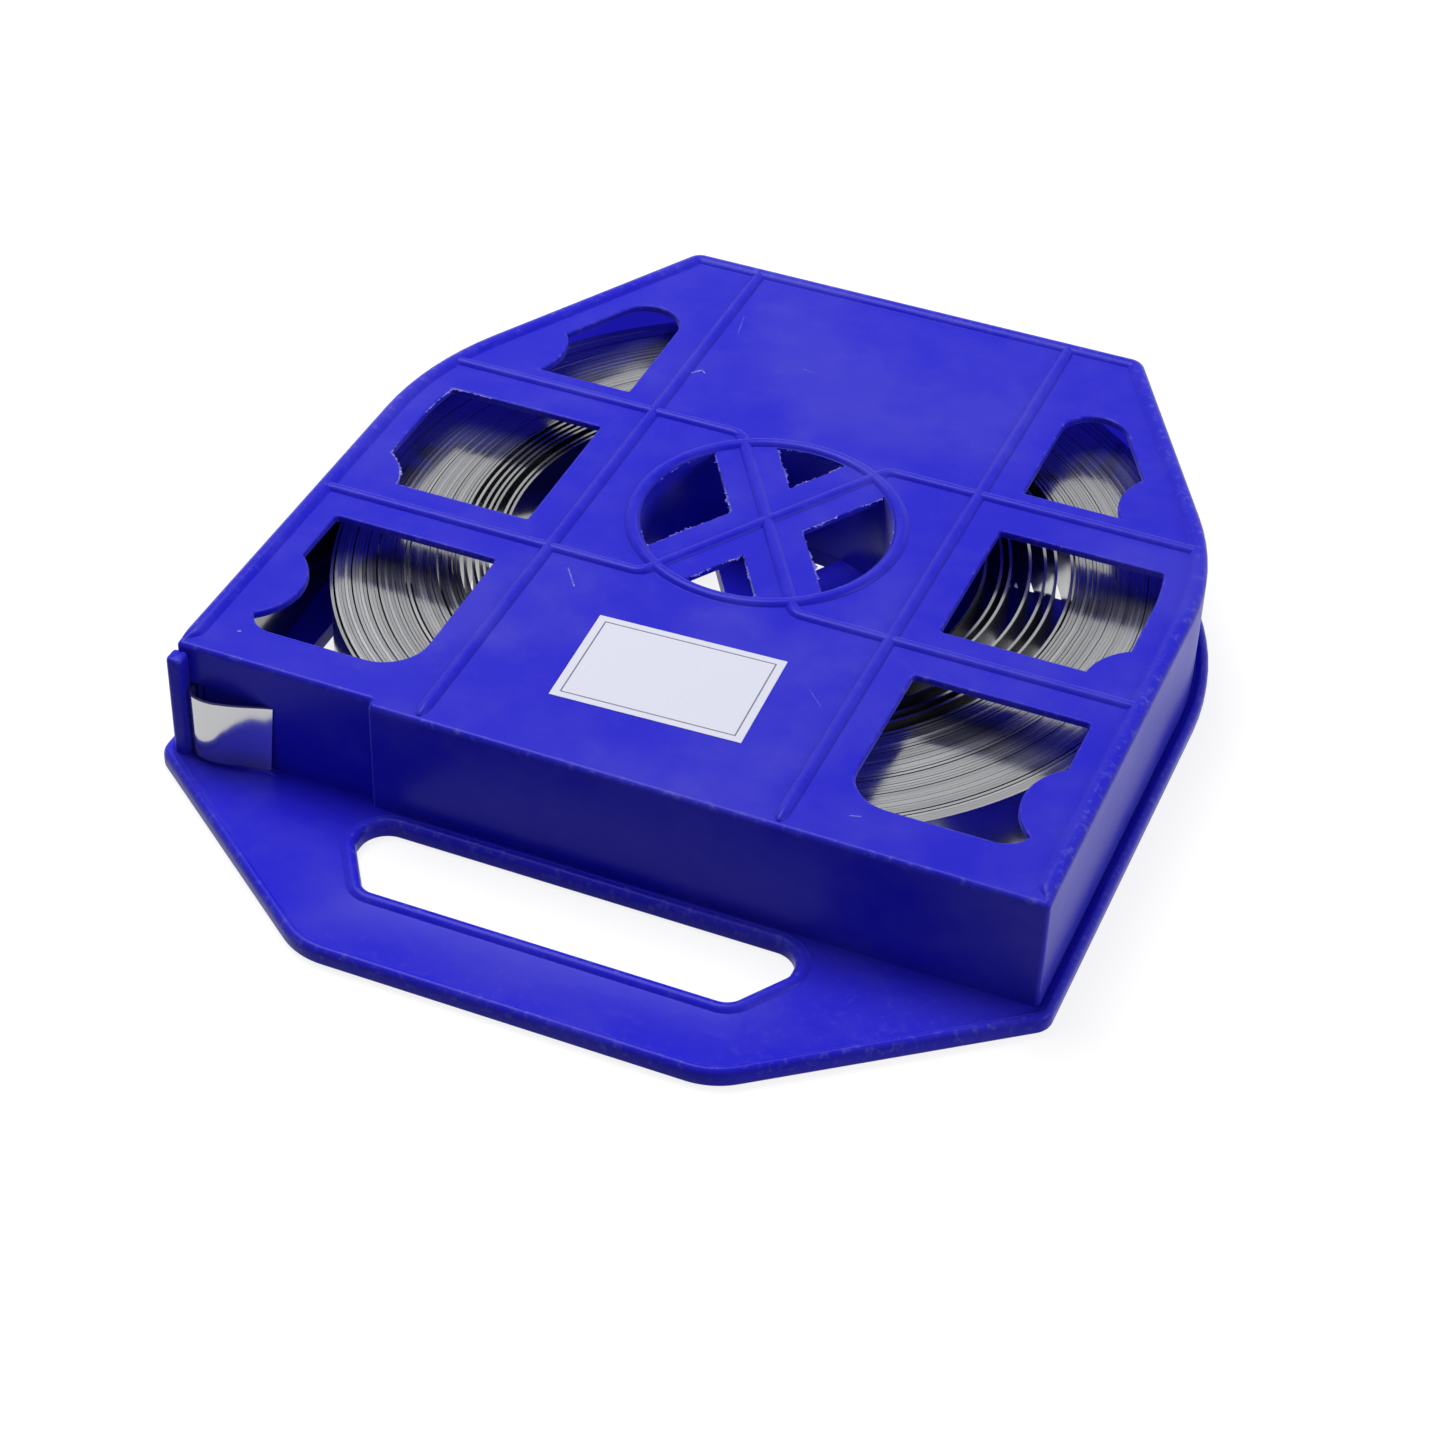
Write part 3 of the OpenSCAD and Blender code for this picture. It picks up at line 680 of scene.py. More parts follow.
def build_base(material):
    shell = Shell()
    base_x = SIDE_X + FLANGE
    half_turn = (math.pi / 2 - SLANT) / 2
    shift = FLANGE * math.tan(half_turn)
    back_x = BACK_X + FLANGE * math.tan(SLANT / 2)
    back_y = BACK_Y + FLANGE
    outline = Outline(
        [
            (HANDLE_X, -HANDLE_Y, 20),
            (base_x, -114.7, 6),
            (base_x, KNUCKLE_Y + shift, KNUCKLE_R + FLANGE),
            (back_x, back_y, 8.6),
            (-back_x, back_y, 8.6),
            (-base_x, KNUCKLE_Y + shift, KNUCKLE_R + FLANGE),
            (-base_x, -114.7, 6),
            (-HANDLE_X, -HANDLE_Y, 20),
        ],
        4,
    )
    under_r, bead_w = 1.1, 3.2
    a = np.linspace(0, math.pi / 2, 6)
    rows = [(under_r + 0.3, 0.0, 0)]
    rows += [(under_r * (1 - math.sin(t)), under_r * (1 - math.cos(t)), 0.3) for t in a]
    rise = 2.1
    rows += [
        (bead_w / 2 * (1 - math.cos(t)), BASE_T + BEAD_H - rise * (1 - math.sin(t)), 0.9)
        for t in np.linspace(0, math.pi / 2, 8)
    ]
    half = bead_curve(bead_w, BEAD_H, 0.3)[::-1][1:]
    rows += [(bead_w / 2 + x, BASE_T + up, 0.25) for x, up in half]
    rows = np.array(rows)
    rims = [ring(outline.at(inset), z) for inset, z, _ in rows]
    shell.grid(np.stack(rims), rows[:, 2])

    slot = Outline(
        [
            (48.3, -140.2, 5),
            (57.7, -125.9, 3),
            (57.7, -116.3, 7),
            (-57.7, -116.3, 7),
            (-57.7, -125.9, 3),
            (-48.3, -140.2, 5),
        ],
        6,
    )
    slot_w = 3.9
    rows = [(-under_r - 0.3, 0.0, 0)]
    rows += [(-under_r * (1 - math.sin(t)), under_r * (1 - math.cos(t)), 0.2) for t in a]
    rows += [
        (-slot_w / 2 * (1 - math.cos(t)), BASE_T + BEAD_H - rise * (1 - math.sin(t)), 0.8)
        for t in np.linspace(0, math.pi / 2, 8)
    ]
    half = bead_curve(slot_w, BEAD_H, 0.4)[::-1][1:]
    rows += [(-slot_w / 2 - x, BASE_T + up, 0.2) for x, up in half]
    rows = np.array(rows)
    slot_rims = [ring(slot.at(inset), z) for inset, z, _ in rows]
    shell.grid(np.stack(slot_rims), rows[:, 2])

    pad = Outline(
        [
            (SIDE_X - 1.9, 1.9 - FRONT_Y, 0.3),
            (SIDE_X - 1.9, KNUCKLE_Y - 1.9 * math.tan(half_turn), KNUCKLE_R - 1.9),
            (BACK_X - 1.9 * math.tan(SLANT / 2), BACK_Y - 1.9, 3.1),
            (-BACK_X + 1.9 * math.tan(SLANT / 2), BACK_Y - 1.9, 3.1),
            (-SIDE_X + 1.9, KNUCKLE_Y - 1.9 * math.tan(half_turn), KNUCKLE_R - 1.9),
            (-SIDE_X + 1.9, 1.9 - FRONT_Y + RECESS_D, 0.3),
            (-RECESS_X + 1.9, 1.9 - FRONT_Y + RECESS_D, 0),
            (-RECESS_X + 1.9, 1.9 - FRONT_Y, 0),
        ],
        6,
    ).at()
    shell.grid(np.stack([ring(pad, FLOOR_Z), ring(pad, BASE_T)]))
    upper, lower = cut_openings(shell, WINDOWS + HUB_OPENINGS, FLOOR_Z, 0.0, 0.3)
    shell.fill([pad, *upper], FLOOR_Z)
    shell.fill([rims[-1][:, :2], slot_rims[-1][:, :2], pad], BASE_T)
    shell.fill([rims[0][:, :2], slot_rims[0][:, :2], *lower], 0.0)

    lip_x = BEND_R - TAIL_X
    y = -(TAIL_Y + BAND_T / 2 + 0.35 + 0.9)
    path = denser_ends(rounded_path([(lip_x - 2, y), (lip_x + TAIL_L + 2, y)], 3, BASE_T), 3, 3)
    shell.sweep(path, bead_section(1.6, 1.0, 0.3), dome_ends(path, 3, 3), 0.3)
    piece = shell.make("base_and_handle", material)
    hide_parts("base")
    return piece


# ---------------------------------------------------------------- steel band


def smooth_noise(rng, count, knot):
    """Random values at knots, joined by cosine steps, one number per sample."""
    knots = rng.random(count // knot + 3)
    x = np.arange(count) / knot
    k = x.astype(int)
    t = (1 - np.cos(np.pi * (x - k))) / 2
    return knots[k] * (1 - t) + knots[k + 1] * t


def last_turn_radius(theta):
    """How far out the outermost turn runs at an angle: it bulges into the corners of the tote,
    and leaves at the left side, half a turn after it has passed the right one."""
    a = (np.degrees(theta) - 180) % 360
    at = [0, 15, 30, 48, 66, 78, 90, 102, 120, 137, 155, 180, 225, 270, 315, 360]
    out = [110.9, 112.9, 115.8, 117.4, 115.5, 112.5, 110.6, 111.9, 113.8, 114.2, 113.6, 112.1, 112.9, 112.2, 112.7, 112.1]
    return pchip(np.array(at, float), np.array(out), a)


def coil_path(rng, per_turn=168, tight=35):
    """The coiled band as angles and radii, from its inner end to where it leaves the coil.

    The loose turns pass through measured places left and right of the hub. After them each
    sample lies one band's thickness and a gap outside the one a turn before it. The gap is
    this angle's spare room times a noise, so that dark lines come and go, and the room is
    what lets the last turn end at its own radius."""
    right = [57.6, 61.9, 64.3, 69.6, 73.7, 76.6, 80.8, 82.0]
    left = [70.5, 72.0, 74.9, 76.4, 78.2, 80.2, 82.2]
    crossings = [60.5] + [r for pair in zip(right, left) for r in pair] + [right[-1]]
    angles = np.array([-0.75] + [math.pi * k for k in range(len(crossings) - 1)])
    step = 2 * math.pi / per_turn
    start, first = int(0.75 / step), int(0.75 / step) + 7 * per_turn
    count = first + tight * per_turn + per_turn // 2 + 1
    theta = (np.arange(count) - start) * step
    r = np.empty(count)
    r[:first] = pchip(angles, np.array(crossings), theta[:first])
    fine = smooth_noise(rng, count, per_turn // 6)
    lines = np.maximum(smooth_noise(rng, count, per_turn // 3) - 0.6, 0) / 0.4
    weight = 0.12 + 0.35 * fine + 1.6 * lines
    corner = np.cos(np.radians(np.degrees(theta[-per_turn:]) % 360 - 225))
    weight[-per_turn:] += 1.6 * np.maximum(corner, 0) ** 2
    ease = np.exp(-np.maximum(theta - 14 * math.pi, 0) / (2 * math.pi))
    gain = pchip(angles, np.array(crossings), theta[first : first + 1])[0]
    gain -= r[first - per_turn] + BAND_T + 0.006
    spare = np.zeros((2, count))
    for k in range(first, count, per_turn):
        here = slice(k, min(k + per_turn, count))
        back = slice(k - per_turn, here.stop - per_turn)
        r[here] = r[back] + BAND_T + 0.006 + gain * ease[here]
        spare[0, here] = spare[0, back] + weight[here]
    last = slice(count - per_turn, count)
    room = (last_turn_radius(theta[last]) - r[last]) / spare[0, last]
    wide = np.concatenate([room[-12:], room, room[:12]])
    room = np.maximum(np.convolve(wide, np.ones(25) / 25, "valid"), 0.004)
    turn_of = (np.arange(count) - last.start) % per_turn
    for k in range(first, count, per_turn):
        here = slice(k, min(k + per_turn, count))
        back = slice(k - per_turn, here.stop - per_turn)
        spare[1, here] = spare[1, back] + weight[here] * room[turn_of[here]]
    return theta, r + spare[1]


def pchip(x, y, at):
    """A cubic through the places whose slopes are the harmonic means of its neighbours', so
    that it never overshoots."""
    h, d = np.diff(x), np.diff(y) / np.diff(x)
    same = d[:-1] * d[1:] > 0
    mean = np.where(same, 2 * d[:-1] * d[1:] / np.where(same, d[:-1] + d[1:], 1), 0)
    m = np.concatenate([[d[0]], mean, [d[-1]]])
    k = np.clip(np.searchsorted(x, at) - 1, 0, len(h) - 1)
    t = (at - x[k]) / h[k]
    return (
        y[k] * (1 + 2 * t) * (1 - t) ** 2
        + m[k] * h[k] * t * (1 - t) ** 2
        + y[k + 1] * t * t * (3 - 2 * t)
        + m[k + 1] * h[k] * t * t * (t - 1)
    )


def through(points, count):
    """A curve through points, sampled at even shares of the chord s: between two points it is
    the cubic whose slopes at both are those of the parabola through each one's neighbours."""
    points = np.array(points, float)
    s = np.concatenate([[0], np.cumsum(np.linalg.norm(np.diff(points, axis=0), axis=1))])
    slope = np.gradient(points, s, axis=0)
    at = np.linspace(0, s[-1], count)
    k = np.clip(np.searchsorted(s, at, "right") - 1, 0, len(s) - 2)
    h = (s[k + 1] - s[k])[:, None]
    t = (at - s[k])[:, None] / h
    start, end = points[k], points[k + 1]
    near = start + (end - start) * t * t * (3 - 2 * t)
    return near + h * (slope[k] * t * (1 - t) ** 2 - slope[k + 1] * t * t * (1 - t))


def build_band(material):
    """The band as one strip on edge: a section of four corners that is carried along the coil,
    the run to the corner and the way out of the slot. Its height and the slope of its upper
    edge wander a little from turn to turn, the run comes down from the coil, and the free end
    leans back a little towards its tip."""
    rng = np.random.default_rng(7)
    theta, r = coil_path(rng)
    coil = np.stack([r * np.cos(theta), COIL_Y + r * np.sin(theta)], 1)
    joint = coil[-1]
    y_end = BEND_R - TAIL_Y
    t = np.linspace(0, 1, 40)[1:]
    bow = t * t * (3 - 2 * t)
    run = np.stack([joint[0] - (TAIL_X + joint[0]) * bow, joint[1] + (y_end - joint[1]) * t], 1)
    tail = through(TAIL_POINTS, 60)[1:]
    path = np.concatenate([coil, run, tail])
    n = len(path)
    calm = np.clip((n - 70 - np.arange(n)) / 60, 0, 1)
    sway = (0.10 * smooth_noise(rng, n, 50) + 0.10 * smooth_noise(rng, n, 170) - 0.10) * calm
    tilt = 0.009 * (smooth_noise(rng, n, 45) + smooth_noise(rng, n, 120) - 1) * calm
    normal = left_of(unit(np.gradient(path, axis=0)))
    lift = np.concatenate([np.ones(len(coil)), 1 - bow, np.zeros(len(tail))])
    low = FLOOR_Z + 0.12 + sway + COIL_LIFT * lift
    high = low + BAND_W
    half = BAND_T / 2
    section = [(-half, low), (-half, high - tilt), (half, high + tilt), (half, low)]
    strip = np.stack([np.column_stack([path + normal * off, z]) for off, z in section], 1)
    twist = np.clip((np.arange(n) - n + 22) / 21, 0, 1)[:, None] ** 1.5 * normal
    strip[:, [0, 3], :2] -= 0.85 * twist[:, None]
    strip[:, 1:3, :2] += 0.5 * twist[:, None]
    strip[-1, 1:3, :2] += 1.2 * (path[-1] - path[-2]) / np.linalg.norm(path[-1] - path[-2])
    shell = Shell()
    streak = smooth_noise(rng, n, 34) * 0.6 + smooth_noise(rng, n, 150) * 0.4
    shell.grid(strip, streak * calm - (np.arange(n) >= n - len(tail)))
    shell.add(strip[0], [[0, 1, 2, 3]], 0.5)
    shell.add(strip[-1], [[0, 1, 2, 3]], -1)
    piece = shell.make("banding_strip", material, 30)
    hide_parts("steel_band")
    return piece


# ---------------------------------------------------------------- materials


def node(tree, kind, at, **values):
    n = tree.nodes.new(kind)
    n.location = at
    for key, value in values.items():
        setattr(n, key, value)
    return n


def new_material(name):
    material = bpy.data.materials.new(name)
    material.use_nodes = True
    tree = material.node_tree
    tree.nodes.clear()
    out = node(tree, "ShaderNodeOutputMaterial", (900, 0))
    bsdf = node(tree, "ShaderNodeBsdfPrincipled", (600, 0))
    tree.links.new(bsdf.outputs[0], out.inputs[0])
    return material, tree, bsdf


def new_group(name, inputs, outputs):
    group = bpy.data.node_groups.new(name, "ShaderNodeTree")
    for label, kind, default in inputs:
        socket = group.interface.new_socket(label, in_out="INPUT", socket_type=kind)
        socket.default_value = default
    for label, kind in outputs:
        group.interface.new_socket(label, in_out="OUTPUT", socket_type=kind)
    return (
        group,
        node(group, "NodeGroupInput", (-900, 0)),
        node(group, "NodeGroupOutput", (900, 0)),
    )


def noise(tree, source, scale, detail=3.0, rough=0.5, at=(-500, 0)):
    n = node(tree, "ShaderNodeTexNoise", at)
    n.inputs["Scale"].default_value = scale
    n.inputs["Detail"].default_value = detail
    n.inputs["Roughness"].default_value = rough
    tree.links.new(source, n.inputs["Vector"])
    return n.outputs["Fac"]


def remap(tree, source, low, high, to_low=0.0, to_high=1.0, at=(-250, 0)):
    n = node(tree, "ShaderNodeMapRange", at, interpolation_type="SMOOTHSTEP")
    n.inputs["From Min"].default_value = low
    n.inputs["From Max"].default_value = high
    n.inputs["To Min"].default_value = to_low
    n.inputs["To Max"].default_value = to_high
    tree.links.new(source, n.inputs["Value"])
    return n.outputs["Result"]


def maths(tree, kind, a, b=None, at=(0, 0), clamp=False):
    n = node(tree, "ShaderNodeMath", at, operation=kind, use_clamp=clamp)
    for socket, value in zip(n.inputs, (a, b)):
        if value is None:
            continue
        if isinstance(value, (int, float)):
            socket.default_value = value
        else:
            tree.links.new(value, socket)
    return n.outputs[0]


def mixed(tree, factor, a, b, at=(200, 0)):
    n = node(tree, "ShaderNodeMix", at, data_type="RGBA")
    for socket, value in ((n.inputs[0], factor), (n.inputs[6], a), (n.inputs[7], b)):
        if isinstance(value, (tuple, float, int)):
            socket.default_value = value
        else:
            tree.links.new(value, socket)
    return n.outputs[2]


def moulded_group():
    """Moulded plastic: cloudy haze, scuffed edges, a soft grain, painted shade in creases and on
    inner sides, and a painted glow on the inner side of a thin plate that stands for daylight shining through it."""
    group, inp, out = new_group(
        "moulded_plastic",
        [
            ("Colour", "NodeSocketColor", (0.015, 0.011, 0.6, 1)),
            ("Haze Colour", "NodeSocketColor", (0.08, 0.075, 0.55, 1)),
            ("Haze", "NodeSocketFloat", 0.5),
            ("Scuffs", "NodeSocketFloat", 0.5),
            ("Painted Glow", "NodeSocketColor", (0.010, 0.008, 0.30, 1)),
            ("Marks", "NodeSocketFloat", 0.0),
        ],
        [
            ("Colour", "NodeSocketColor"),
            ("Roughness", "NodeSocketFloat"),
            ("Height", "NodeSocketFloat"),
            ("Painted Glow", "NodeSocketColor"),
        ],
    )
    place = node(group, "ShaderNodeTexCoord", (-1100, -200)).outputs["Object"]
    wear = node(group, "ShaderNodeAttribute", (-1100, -500), attribute_name="wear").outputs["Fac"]
    cloud = remap(group, noise(group, place, 22, 4, 0.55, (-700, 200)), 0.42, 0.68, at=(-450, 200))
    patch = remap(group, noise(group, place, 75, 5, 0.6, (-700, 0)), 0.45, 0.72, at=(-450, 0))
    haze = maths(group, "ADD", maths(group, "MULTIPLY", cloud, 0.75), maths(group, "MULTIPLY", patch, 0.35))
    haze = maths(group, "MULTIPLY", haze, inp.outputs["Haze"])
    colour = mixed(group, haze, inp.outputs["Colour"], inp.outputs["Haze Colour"], (100, 200))
    speck = remap(group, noise(group, place, 420, 6, 0.65, (-700, -300)), 0.5, 0.74, at=(-450, -300))
    edge = maths(group, "MAXIMUM", wear, 0.0)
    burr = maths(group, "SUBTRACT", edge, 1.0, clamp=True)
    below = maths(group, "MULTIPLY", wear, -1.0)
    # Painted shade: darker in the creases at the feet of beads and ribs, and on the inner sides of the plate and walls.
    painted_crease_shade = maths(group, "MINIMUM", maths(group, "MAXIMUM", below, 0.0), 1.0)
    scuff = maths(group, "MULTIPLY", maths(group, "MULTIPLY", speck, edge), inp.outputs["Scuffs"])
    # Painted glow where the marks are below -1, on inner sides: emitted as if daylight came through the plate.
    inner = maths(group, "SUBTRACT", below, 1.0, clamp=True)
    glow = mixed(group, inner, (0, 0, 0, 1), inp.outputs["Painted Glow"], (350, 0))
    group.links.new(glow, out.inputs["Painted Glow"])
    colour = mixed(group, scuff, colour, (0.26, 0.26, 0.62, 1), (350, 150))
    # The painted shade of creases and inner sides darkens the colour towards deep blue.
    colour = mixed(group, maths(group, "MULTIPLY", painted_crease_shade, 0.35), colour, (0.003, 0.002, 0.16, 1), (500, 150))
    pale = maths(group, "MULTIPLY", burr, remap(group, speck, 0.0, 0.5, 0.35, 0.95))
    pale = maths(group, "MAXIMUM", pale, inp.outputs["Marks"])
    colour = mixed(group, pale, colour, (0.36, 0.36, 0.60, 1), (650, 150))
    group.links.new(colour, out.inputs["Colour"])
    rough = maths(group, "ADD", maths(group, "MULTIPLY", haze, 0.14), maths(group, "MULTIPLY", scuff, 0.2))
    rough = maths(group, "ADD", rough, 0.3)
    group.links.new(rough, out.inputs["Roughness"])
    grain = noise(group, place, 900, 3, 0.6, (-700, -600))
    peel = noise(group, place, 110, 2, 0.5, (-700, -800))
    height = maths(group, "ADD", maths(group, "MULTIPLY", grain, 0.12), maths(group, "MULTIPLY", peel, 0.9))
    height = maths(group, "ADD", height, maths(group, "MULTIPLY", scuff, 0.5))
    group.links.new(height, out.inputs["Height"])
    return group


def scratch_group():
    """A scratch from A to B: 1 within the width of the segment between them, fading to 0 at
    its sides, and broken up by noise. The distance is from the place to A plus B less A times
    the share t of the segment, where t is the dot product with it over its square, 0 to 1."""
    group, inp, out = new_group(
        "scratch",
        [
            ("A", "NodeSocketVector", (0, 0, 0)),
            ("B", "NodeSocketVector", (0.01, 0, 0)),
            ("Width", "NodeSocketFloat", 0.0003),
        ],
        [("Mark", "NodeSocketFloat")],
    )

    def vector(kind, a, b=None, scale=None, out_name="Vector"):
        n = node(group, "ShaderNodeVectorMath", (-300, 0), operation=kind)
        group.links.new(a, n.inputs[0])
        if b is not None:
            group.links.new(b, n.inputs[1])
        if scale is not None:
            group.links.new(scale, n.inputs["Scale"])
        return n.outputs[out_name]

    place = node(group, "ShaderNodeTexCoord", (-900, 0)).outputs["Object"]
    a, b = inp.outputs["A"], inp.outputs["B"]
    run, gone = vector("SUBTRACT", b, a), vector("SUBTRACT", place, a)
    length = vector("DOT_PRODUCT", run, run, out_name="Value")
    share = maths(group, "DIVIDE", vector("DOT_PRODUCT", gone, run, out_name="Value"), length, clamp=True)
    away = vector("SUBTRACT", gone, vector("SCALE", run, scale=share))
    far = maths(group, "DIVIDE", vector("LENGTH", away, out_name="Value"), inp.outputs["Width"])
    mark = remap(group, far, 0.4, 1.0, 1.0, 0.0, (100, 0))
    broken = remap(group, noise(group, place, 900, 3, 0.6, (-500, -300)), 0.36, 0.6, 0.15, 1.0, (-200, -300))
    group.links.new(maths(group, "MULTIPLY", mark, broken), out.inputs["Mark"])
    return group


def add_scratches(tree, target, group, lines):
    """The strongest of several scratches, given as (x, y, x, y, half width, strength) in mm."""
    total = 0.0
    for x0, y0, x1, y1, width, strength in lines:
        g = node(tree, "ShaderNodeGroup", (-900, -400), node_tree=group)
        g.inputs["A"].default_value = (x0 * MM, y0 * MM, PLATE_Z * MM)
        g.inputs["B"].default_value = (x1 * MM, y1 * MM, PLATE_Z * MM)
        g.inputs["Width"].default_value = width * MM
        total = maths(tree, "MAXIMUM", maths(tree, "MULTIPLY", g.outputs["Mark"], strength), total)
    tree.links.new(total, target)


def add_bump(tree, bsdf, height, strength, distance):
    bump = node(tree, "ShaderNodeBump", (350, -300))
    bump.inputs["Strength"].default_value = strength
    bump.inputs["Distance"].default_value = distance
    tree.links.new(height, bump.inputs["Height"])
    tree.links.new(bump.outputs["Normal"], bsdf.inputs["Normal"])


def plastic(name, group, colour, haze_colour, haze, scuffs, scratches=()):
    """Blue plastic with its share of haze and scuffs, and with its few larger scratches."""
    material, tree, bsdf = new_material(name)
    g = node(tree, "ShaderNodeGroup", (0, 0), node_tree=group)
    g.inputs["Colour"].default_value = colour
    g.inputs["Haze Colour"].default_value = haze_colour
    g.inputs["Haze"].default_value = haze
    g.inputs["Scuffs"].default_value = scuffs
    tree.links.new(g.outputs["Colour"], bsdf.inputs["Base Color"])
    tree.links.new(g.outputs["Roughness"], bsdf.inputs["Roughness"])
    # The painted glow on inner sides is emitted.
    tree.links.new(g.outputs["Painted Glow"], bsdf.inputs["Emission Color"])
    bsdf.inputs["Emission Strength"].default_value = 1.0
    bsdf.inputs["IOR"].default_value = 1.46
    bsdf.inputs["Specular IOR Level"].default_value = 0.12
    bsdf.inputs["Sheen Weight"].default_value = 0.16
    bsdf.inputs["Sheen Roughness"].default_value = 0.35
    if scratches:
        add_scratches(tree, g.inputs["Marks"], scratch_group(), scratches)
    add_bump(tree, bsdf, g.outputs["Height"], 0.35, 0.0003)
    return material


def steel():
    """Cold rolled strip: each turn has its own tone and gloss, in streaks along the strip, and
    the free end, whose flat face shows, is brighter than the cut edges of the turns."""
    material, tree, bsdf = new_material("bright_strip_steel")
    streak = node(tree, "ShaderNodeAttribute", (-900, 100), attribute_name="wear").outputs["Fac"]
    place = node(tree, "ShaderNodeTexCoord", (-1100, -200)).outputs["Object"]
    flat = node(tree, "ShaderNodeVectorMath", (-900, -200), operation="MULTIPLY_ADD")
    flat.inputs[1].default_value = (1, 1, 0)
    flat.inputs[2].default_value = (0, -COIL_Y * MM, 0)
    tree.links.new(place, flat.inputs[0])
    radius = node(tree, "ShaderNodeVectorMath", (-700, -200), operation="LENGTH")
    tree.links.new(flat.outputs[0], radius.inputs[0])
    lines = node(tree, "ShaderNodeTexNoise", (-500, -200), noise_dimensions="1D")
    lines.inputs["Scale"].default_value = 900
    lines.inputs["Detail"].default_value = 2
    tree.links.new(radius.outputs["Value"], lines.inputs["W"])
    shade = maths(tree, "ADD", maths(tree, "MULTIPLY", streak, 0.6), maths(tree, "MULTIPLY", lines.outputs["Fac"], 0.4))
    soil = remap(tree, noise(tree, place, 55, 4, 0.6, (-650, -500)), 0.5, 0.8, at=(-400, -500))
    tone = mixed(tree, shade, (0.26, 0.262, 0.274, 1), (0.42, 0.424, 0.438, 1), (-100, 100))
    tone = mixed(tree, maths(tree, "MULTIPLY", soil, 0.18), tone, (0.16, 0.16, 0.20, 1), (100, 100))
    face = maths(tree, "MULTIPLY", streak, -1.0, clamp=True)
    tone = mixed(tree, face, tone, (0.51, 0.51, 0.52, 1), (300, 100))
    tree.links.new(tone, bsdf.inputs["Base Color"])
    tree.links.new(remap(tree, streak, 0.0, 1.0, 0.12, 0.26, (-100, -150)), bsdf.inputs["Roughness"])
    bsdf.inputs["Metallic"].default_value = 0.9
    return material


def paper():
    """White paper with a thin printed frame round its edge."""
    material, tree, bsdf = new_material("label_paper")
    place = node(tree, "ShaderNodeTexCoord", (-1300, 0)).outputs["Object"]
    turn = node(tree, "ShaderNodeMapping", (-1100, 0), vector_type="TEXTURE")
    turn.inputs["Location"].default_value = (2.6 * MM, -71.2 * MM, 0)
    turn.inputs["Rotation"].default_value = (0, 0, math.radians(2.3))
    tree.links.new(place, turn.inputs["Vector"])
    split = node(tree, "ShaderNodeSeparateXYZ", (-900, 0))
    tree.links.new(turn.outputs[0], split.inputs[0])
    edges = []
    for k, half in ((0, 22.9), (1, 14.9)):
        edges.append(
            maths(tree, "SUBTRACT", maths(tree, "ABSOLUTE", split.outputs[k], at=(-700, -200 * k)), half * MM)
        )
    outside = maths(tree, "MAXIMUM", edges[0], edges[1])
    line = maths(tree, "LESS_THAN", maths(tree, "ABSOLUTE", outside), 0.2 * MM)
    fibre = noise(tree, place, 900, 4, 0.6, (-700, -500))
    sheet = mixed(tree, fibre, (0.66, 0.67, 0.80, 1), (0.72, 0.73, 0.84, 1), (0, 100))
    tone = mixed(tree, maths(tree, "MULTIPLY", line, 0.85), sheet, (0.05, 0.05, 0.08, 1), (250, 100))
    tree.links.new(tone, bsdf.inputs["Base Color"])
    bsdf.inputs["Roughness"].default_value = 0.6
    add_bump(tree, bsdf, fibre, 0.15, 0.0001)
    return material


# ---------------------------------------------------------------- floor, lights, world


def seen_directly(tree):
    """One where a ray comes from the camera, a mirror or a glass, and nothing elsewhere."""
    path = node(tree, "ShaderNodeLightPath", (-600, 300))
    seen = maths(tree, "MAXIMUM", path.outputs["Is Camera Ray"], path.outputs["Is Glossy Ray"])
    return maths(tree, "MAXIMUM", seen, path.outputs["Is Transmission Ray"])


def add_floor():
    mesh = bpy.data.meshes.new("floor")
    s = 5.0
    mesh.from_pydata([(-s, -s, -1e-4), (s, -s, -1e-4), (s, s, -1e-4), (-s, s, -1e-4)], [], [(0, 1, 2, 3)])
    material = bpy.data.materials.new("pale_floor")
    material.use_nodes = True
    tree = material.node_tree
    tree.nodes.clear()
    out = node(tree, "ShaderNodeOutputMaterial", (600, 0))
    diffuse = node(tree, "ShaderNodeBsdfDiffuse", (-200, 0))
    diffuse.inputs["Color"].default_value = (0.22, 0.22, 0.22, 1)
    shade = node(tree, "ShaderNodeBsdfDiffuse", (-200, 200))
    shade.inputs["Color"].default_value = (0.36, 0.36, 0.38, 1)
    glow = node(tree, "ShaderNodeEmission", (-200, -200))
    glow.inputs["Strength"].default_value = 0.85
    both = node(tree, "ShaderNodeAddShader", (100, -100))
    mix = node(tree, "ShaderNodeMixShader", (350, 0))
    tree.links.new(diffuse.outputs[0], both.inputs[0])
    tree.links.new(glow.outputs[0], both.inputs[1])
    tree.links.new(seen_directly(tree), mix.inputs[0])
    tree.links.new(shade.outputs[0], mix.inputs[1])
    tree.links.new(both.outputs[0], mix.inputs[2])
    tree.links.new(mix.outputs[0], out.inputs[0])
    mesh.materials.append(material)
    floor = bpy.data.objects.new("floor", mesh)
    bpy.context.scene.collection.objects.link(floor)


def add_light(name, place, aim, size, power):
    data = bpy.data.lights.new(name, "AREA")
    data.shape = "RECTANGLE"
    data.size, data.size_y = size
    data.energy = power
    lamp = bpy.data.objects.new(name, data)
    place, aim = Vector(place), Vector(aim)
    lamp.matrix_world = Matrix.Translation(place) @ (aim - place).to_track_quat("-Z", "Y").to_matrix().to_4x4()
    bpy.context.scene.collection.objects.link(lamp)


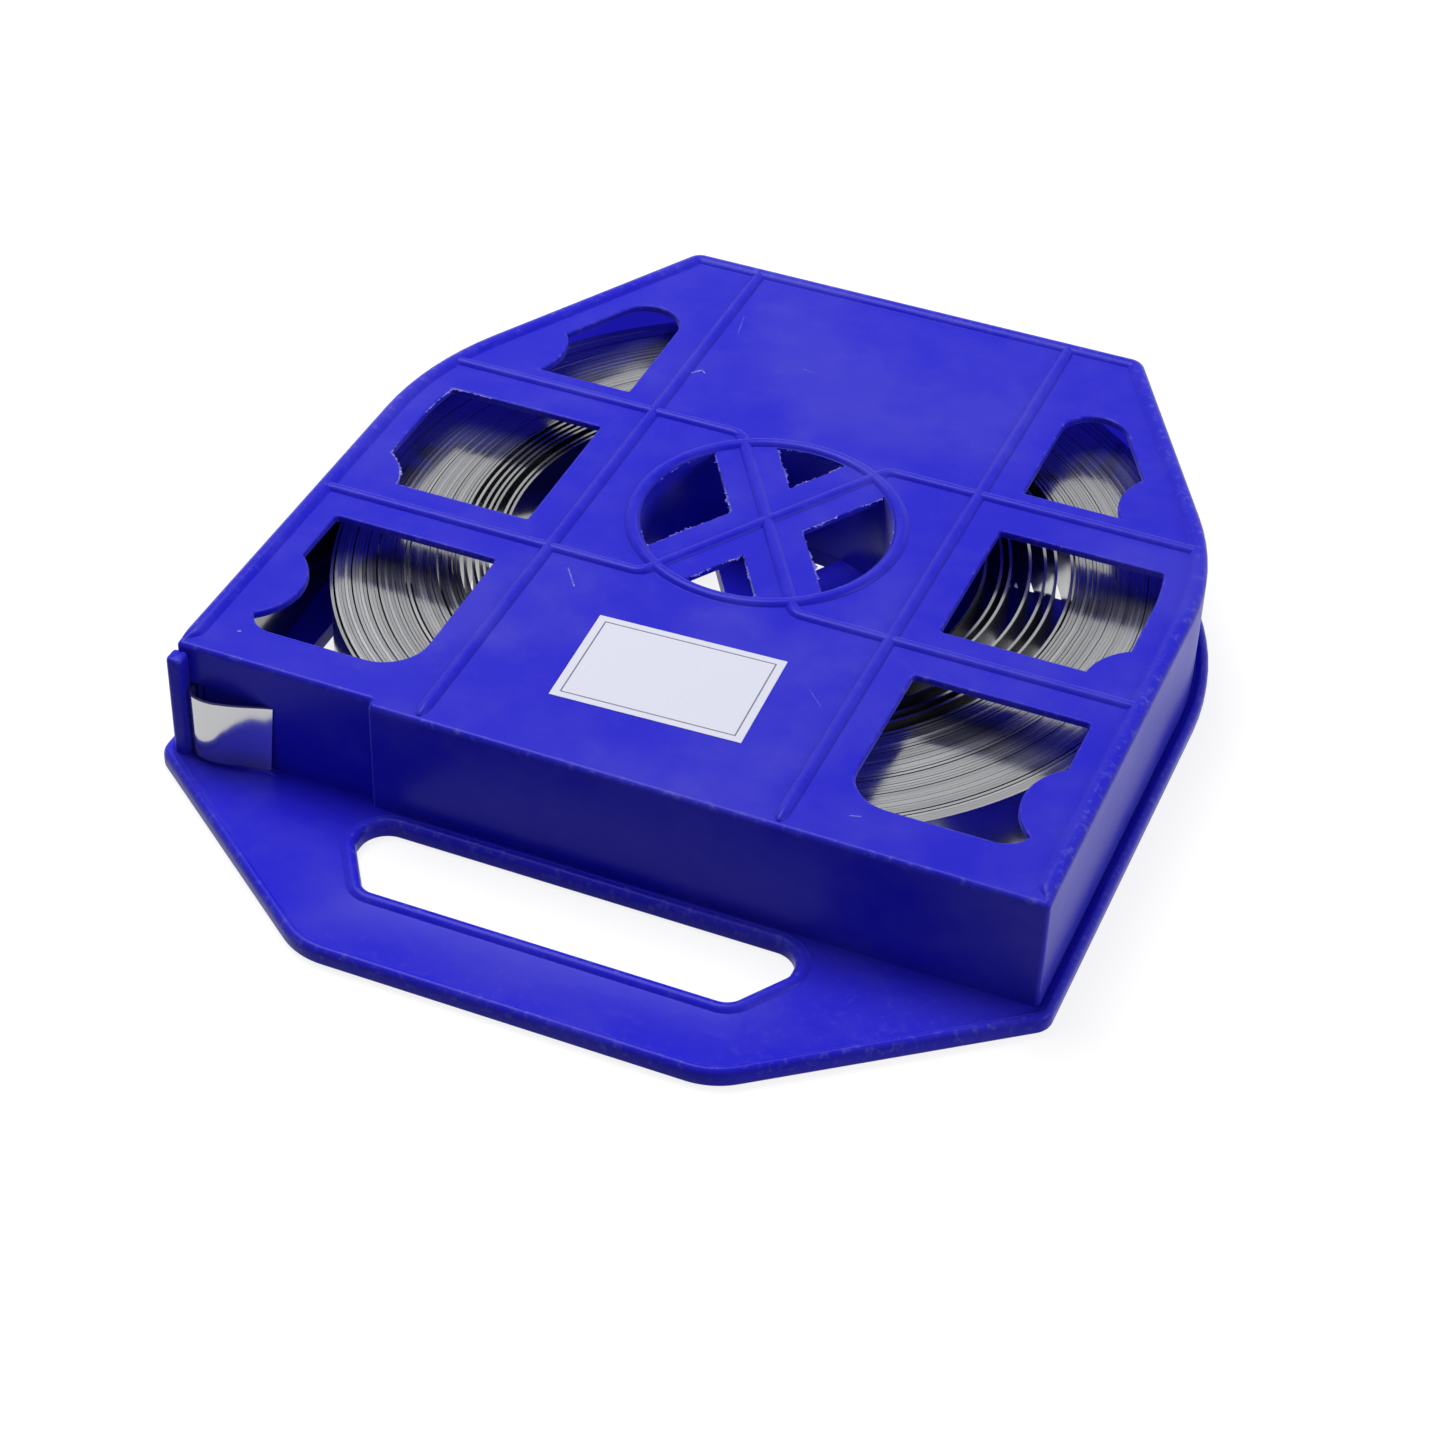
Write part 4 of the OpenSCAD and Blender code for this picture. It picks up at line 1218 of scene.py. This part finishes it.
def add_world():
    world = bpy.data.worlds.new("studio")
    world.use_nodes = True
    tree = world.node_tree
    tree.nodes.clear()
    out = node(tree, "ShaderNodeOutputWorld", (600, 0))
    soft = node(tree, "ShaderNodeBackground", (0, 100))
    soft.inputs["Color"].default_value = (0.9, 0.92, 1.0, 1)
    soft.inputs["Strength"].default_value = 0.14
    white = node(tree, "ShaderNodeBackground", (0, -100))
    white.inputs["Color"].default_value = (1, 1, 1, 1)
    mix = node(tree, "ShaderNodeMixShader", (300, 0))
    tree.links.new(seen_directly(tree), mix.inputs[0])
    tree.links.new(soft.outputs[0], mix.inputs[1])
    tree.links.new(white.outputs[0], mix.inputs[2])
    tree.links.new(mix.outputs[0], out.inputs[0])
    bpy.context.scene.world = world


# ---------------------------------------------------------------- scene

add_camera()
MOULDED = moulded_group()
SCRATCHES = [
    (-39, -40.5, -34.4, -46.8, 0.25, 0.7),
    (-45.4, 56.2, -43.4, 58.5, 0.35, 0.8),
    (-43.4, 58.5, -42, 57.5, 0.25, 0.8),
    (-48.6, 88.9, -47.9, 82.8, 0.3, 0.35),
    (-43, 88.7, -41.4, 80.3, 0.22, 0.3),
    (-17.8, 70.9, -15, 70.5, 0.25, 0.3),
    (-103.3, -98.6, -102.9, -98.5, 0.45, 0.7),
    (62, -101, 64.5, -100.2, 0.25, 0.5),
    (36, -61, 41, -66, 0.18, 0.25),
]
COVER_PLASTIC = plastic(
    "blue_cover_plastic",
    MOULDED,
    (0.015, 0.013, 0.58, 1),
    (0.058, 0.054, 0.56, 1),
    0.6,
    0.35,
    SCRATCHES,
)
BASE_PLASTIC = plastic(
    "blue_base_plastic", MOULDED, (0.016, 0.013, 0.62, 1), (0.05, 0.045, 0.56, 1), 0.5, 0.3
)
build_cover(COVER_PLASTIC)
build_base(BASE_PLASTIC)
build_band(steel())
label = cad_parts["label"]
label.data.materials.clear()
label.data.materials.append(paper())

add_floor()
add_world()
add_light("overhead", (-0.5, 0.3, 1.4), (0, 0, 0), (0.9, 0.8), 21)
add_light("right_fill", (1.5, 0.1, 0.55), (0, 0, 0), (0.9, 0.6), 8)
bpy.context.scene.view_settings.view_transform = "Standard"
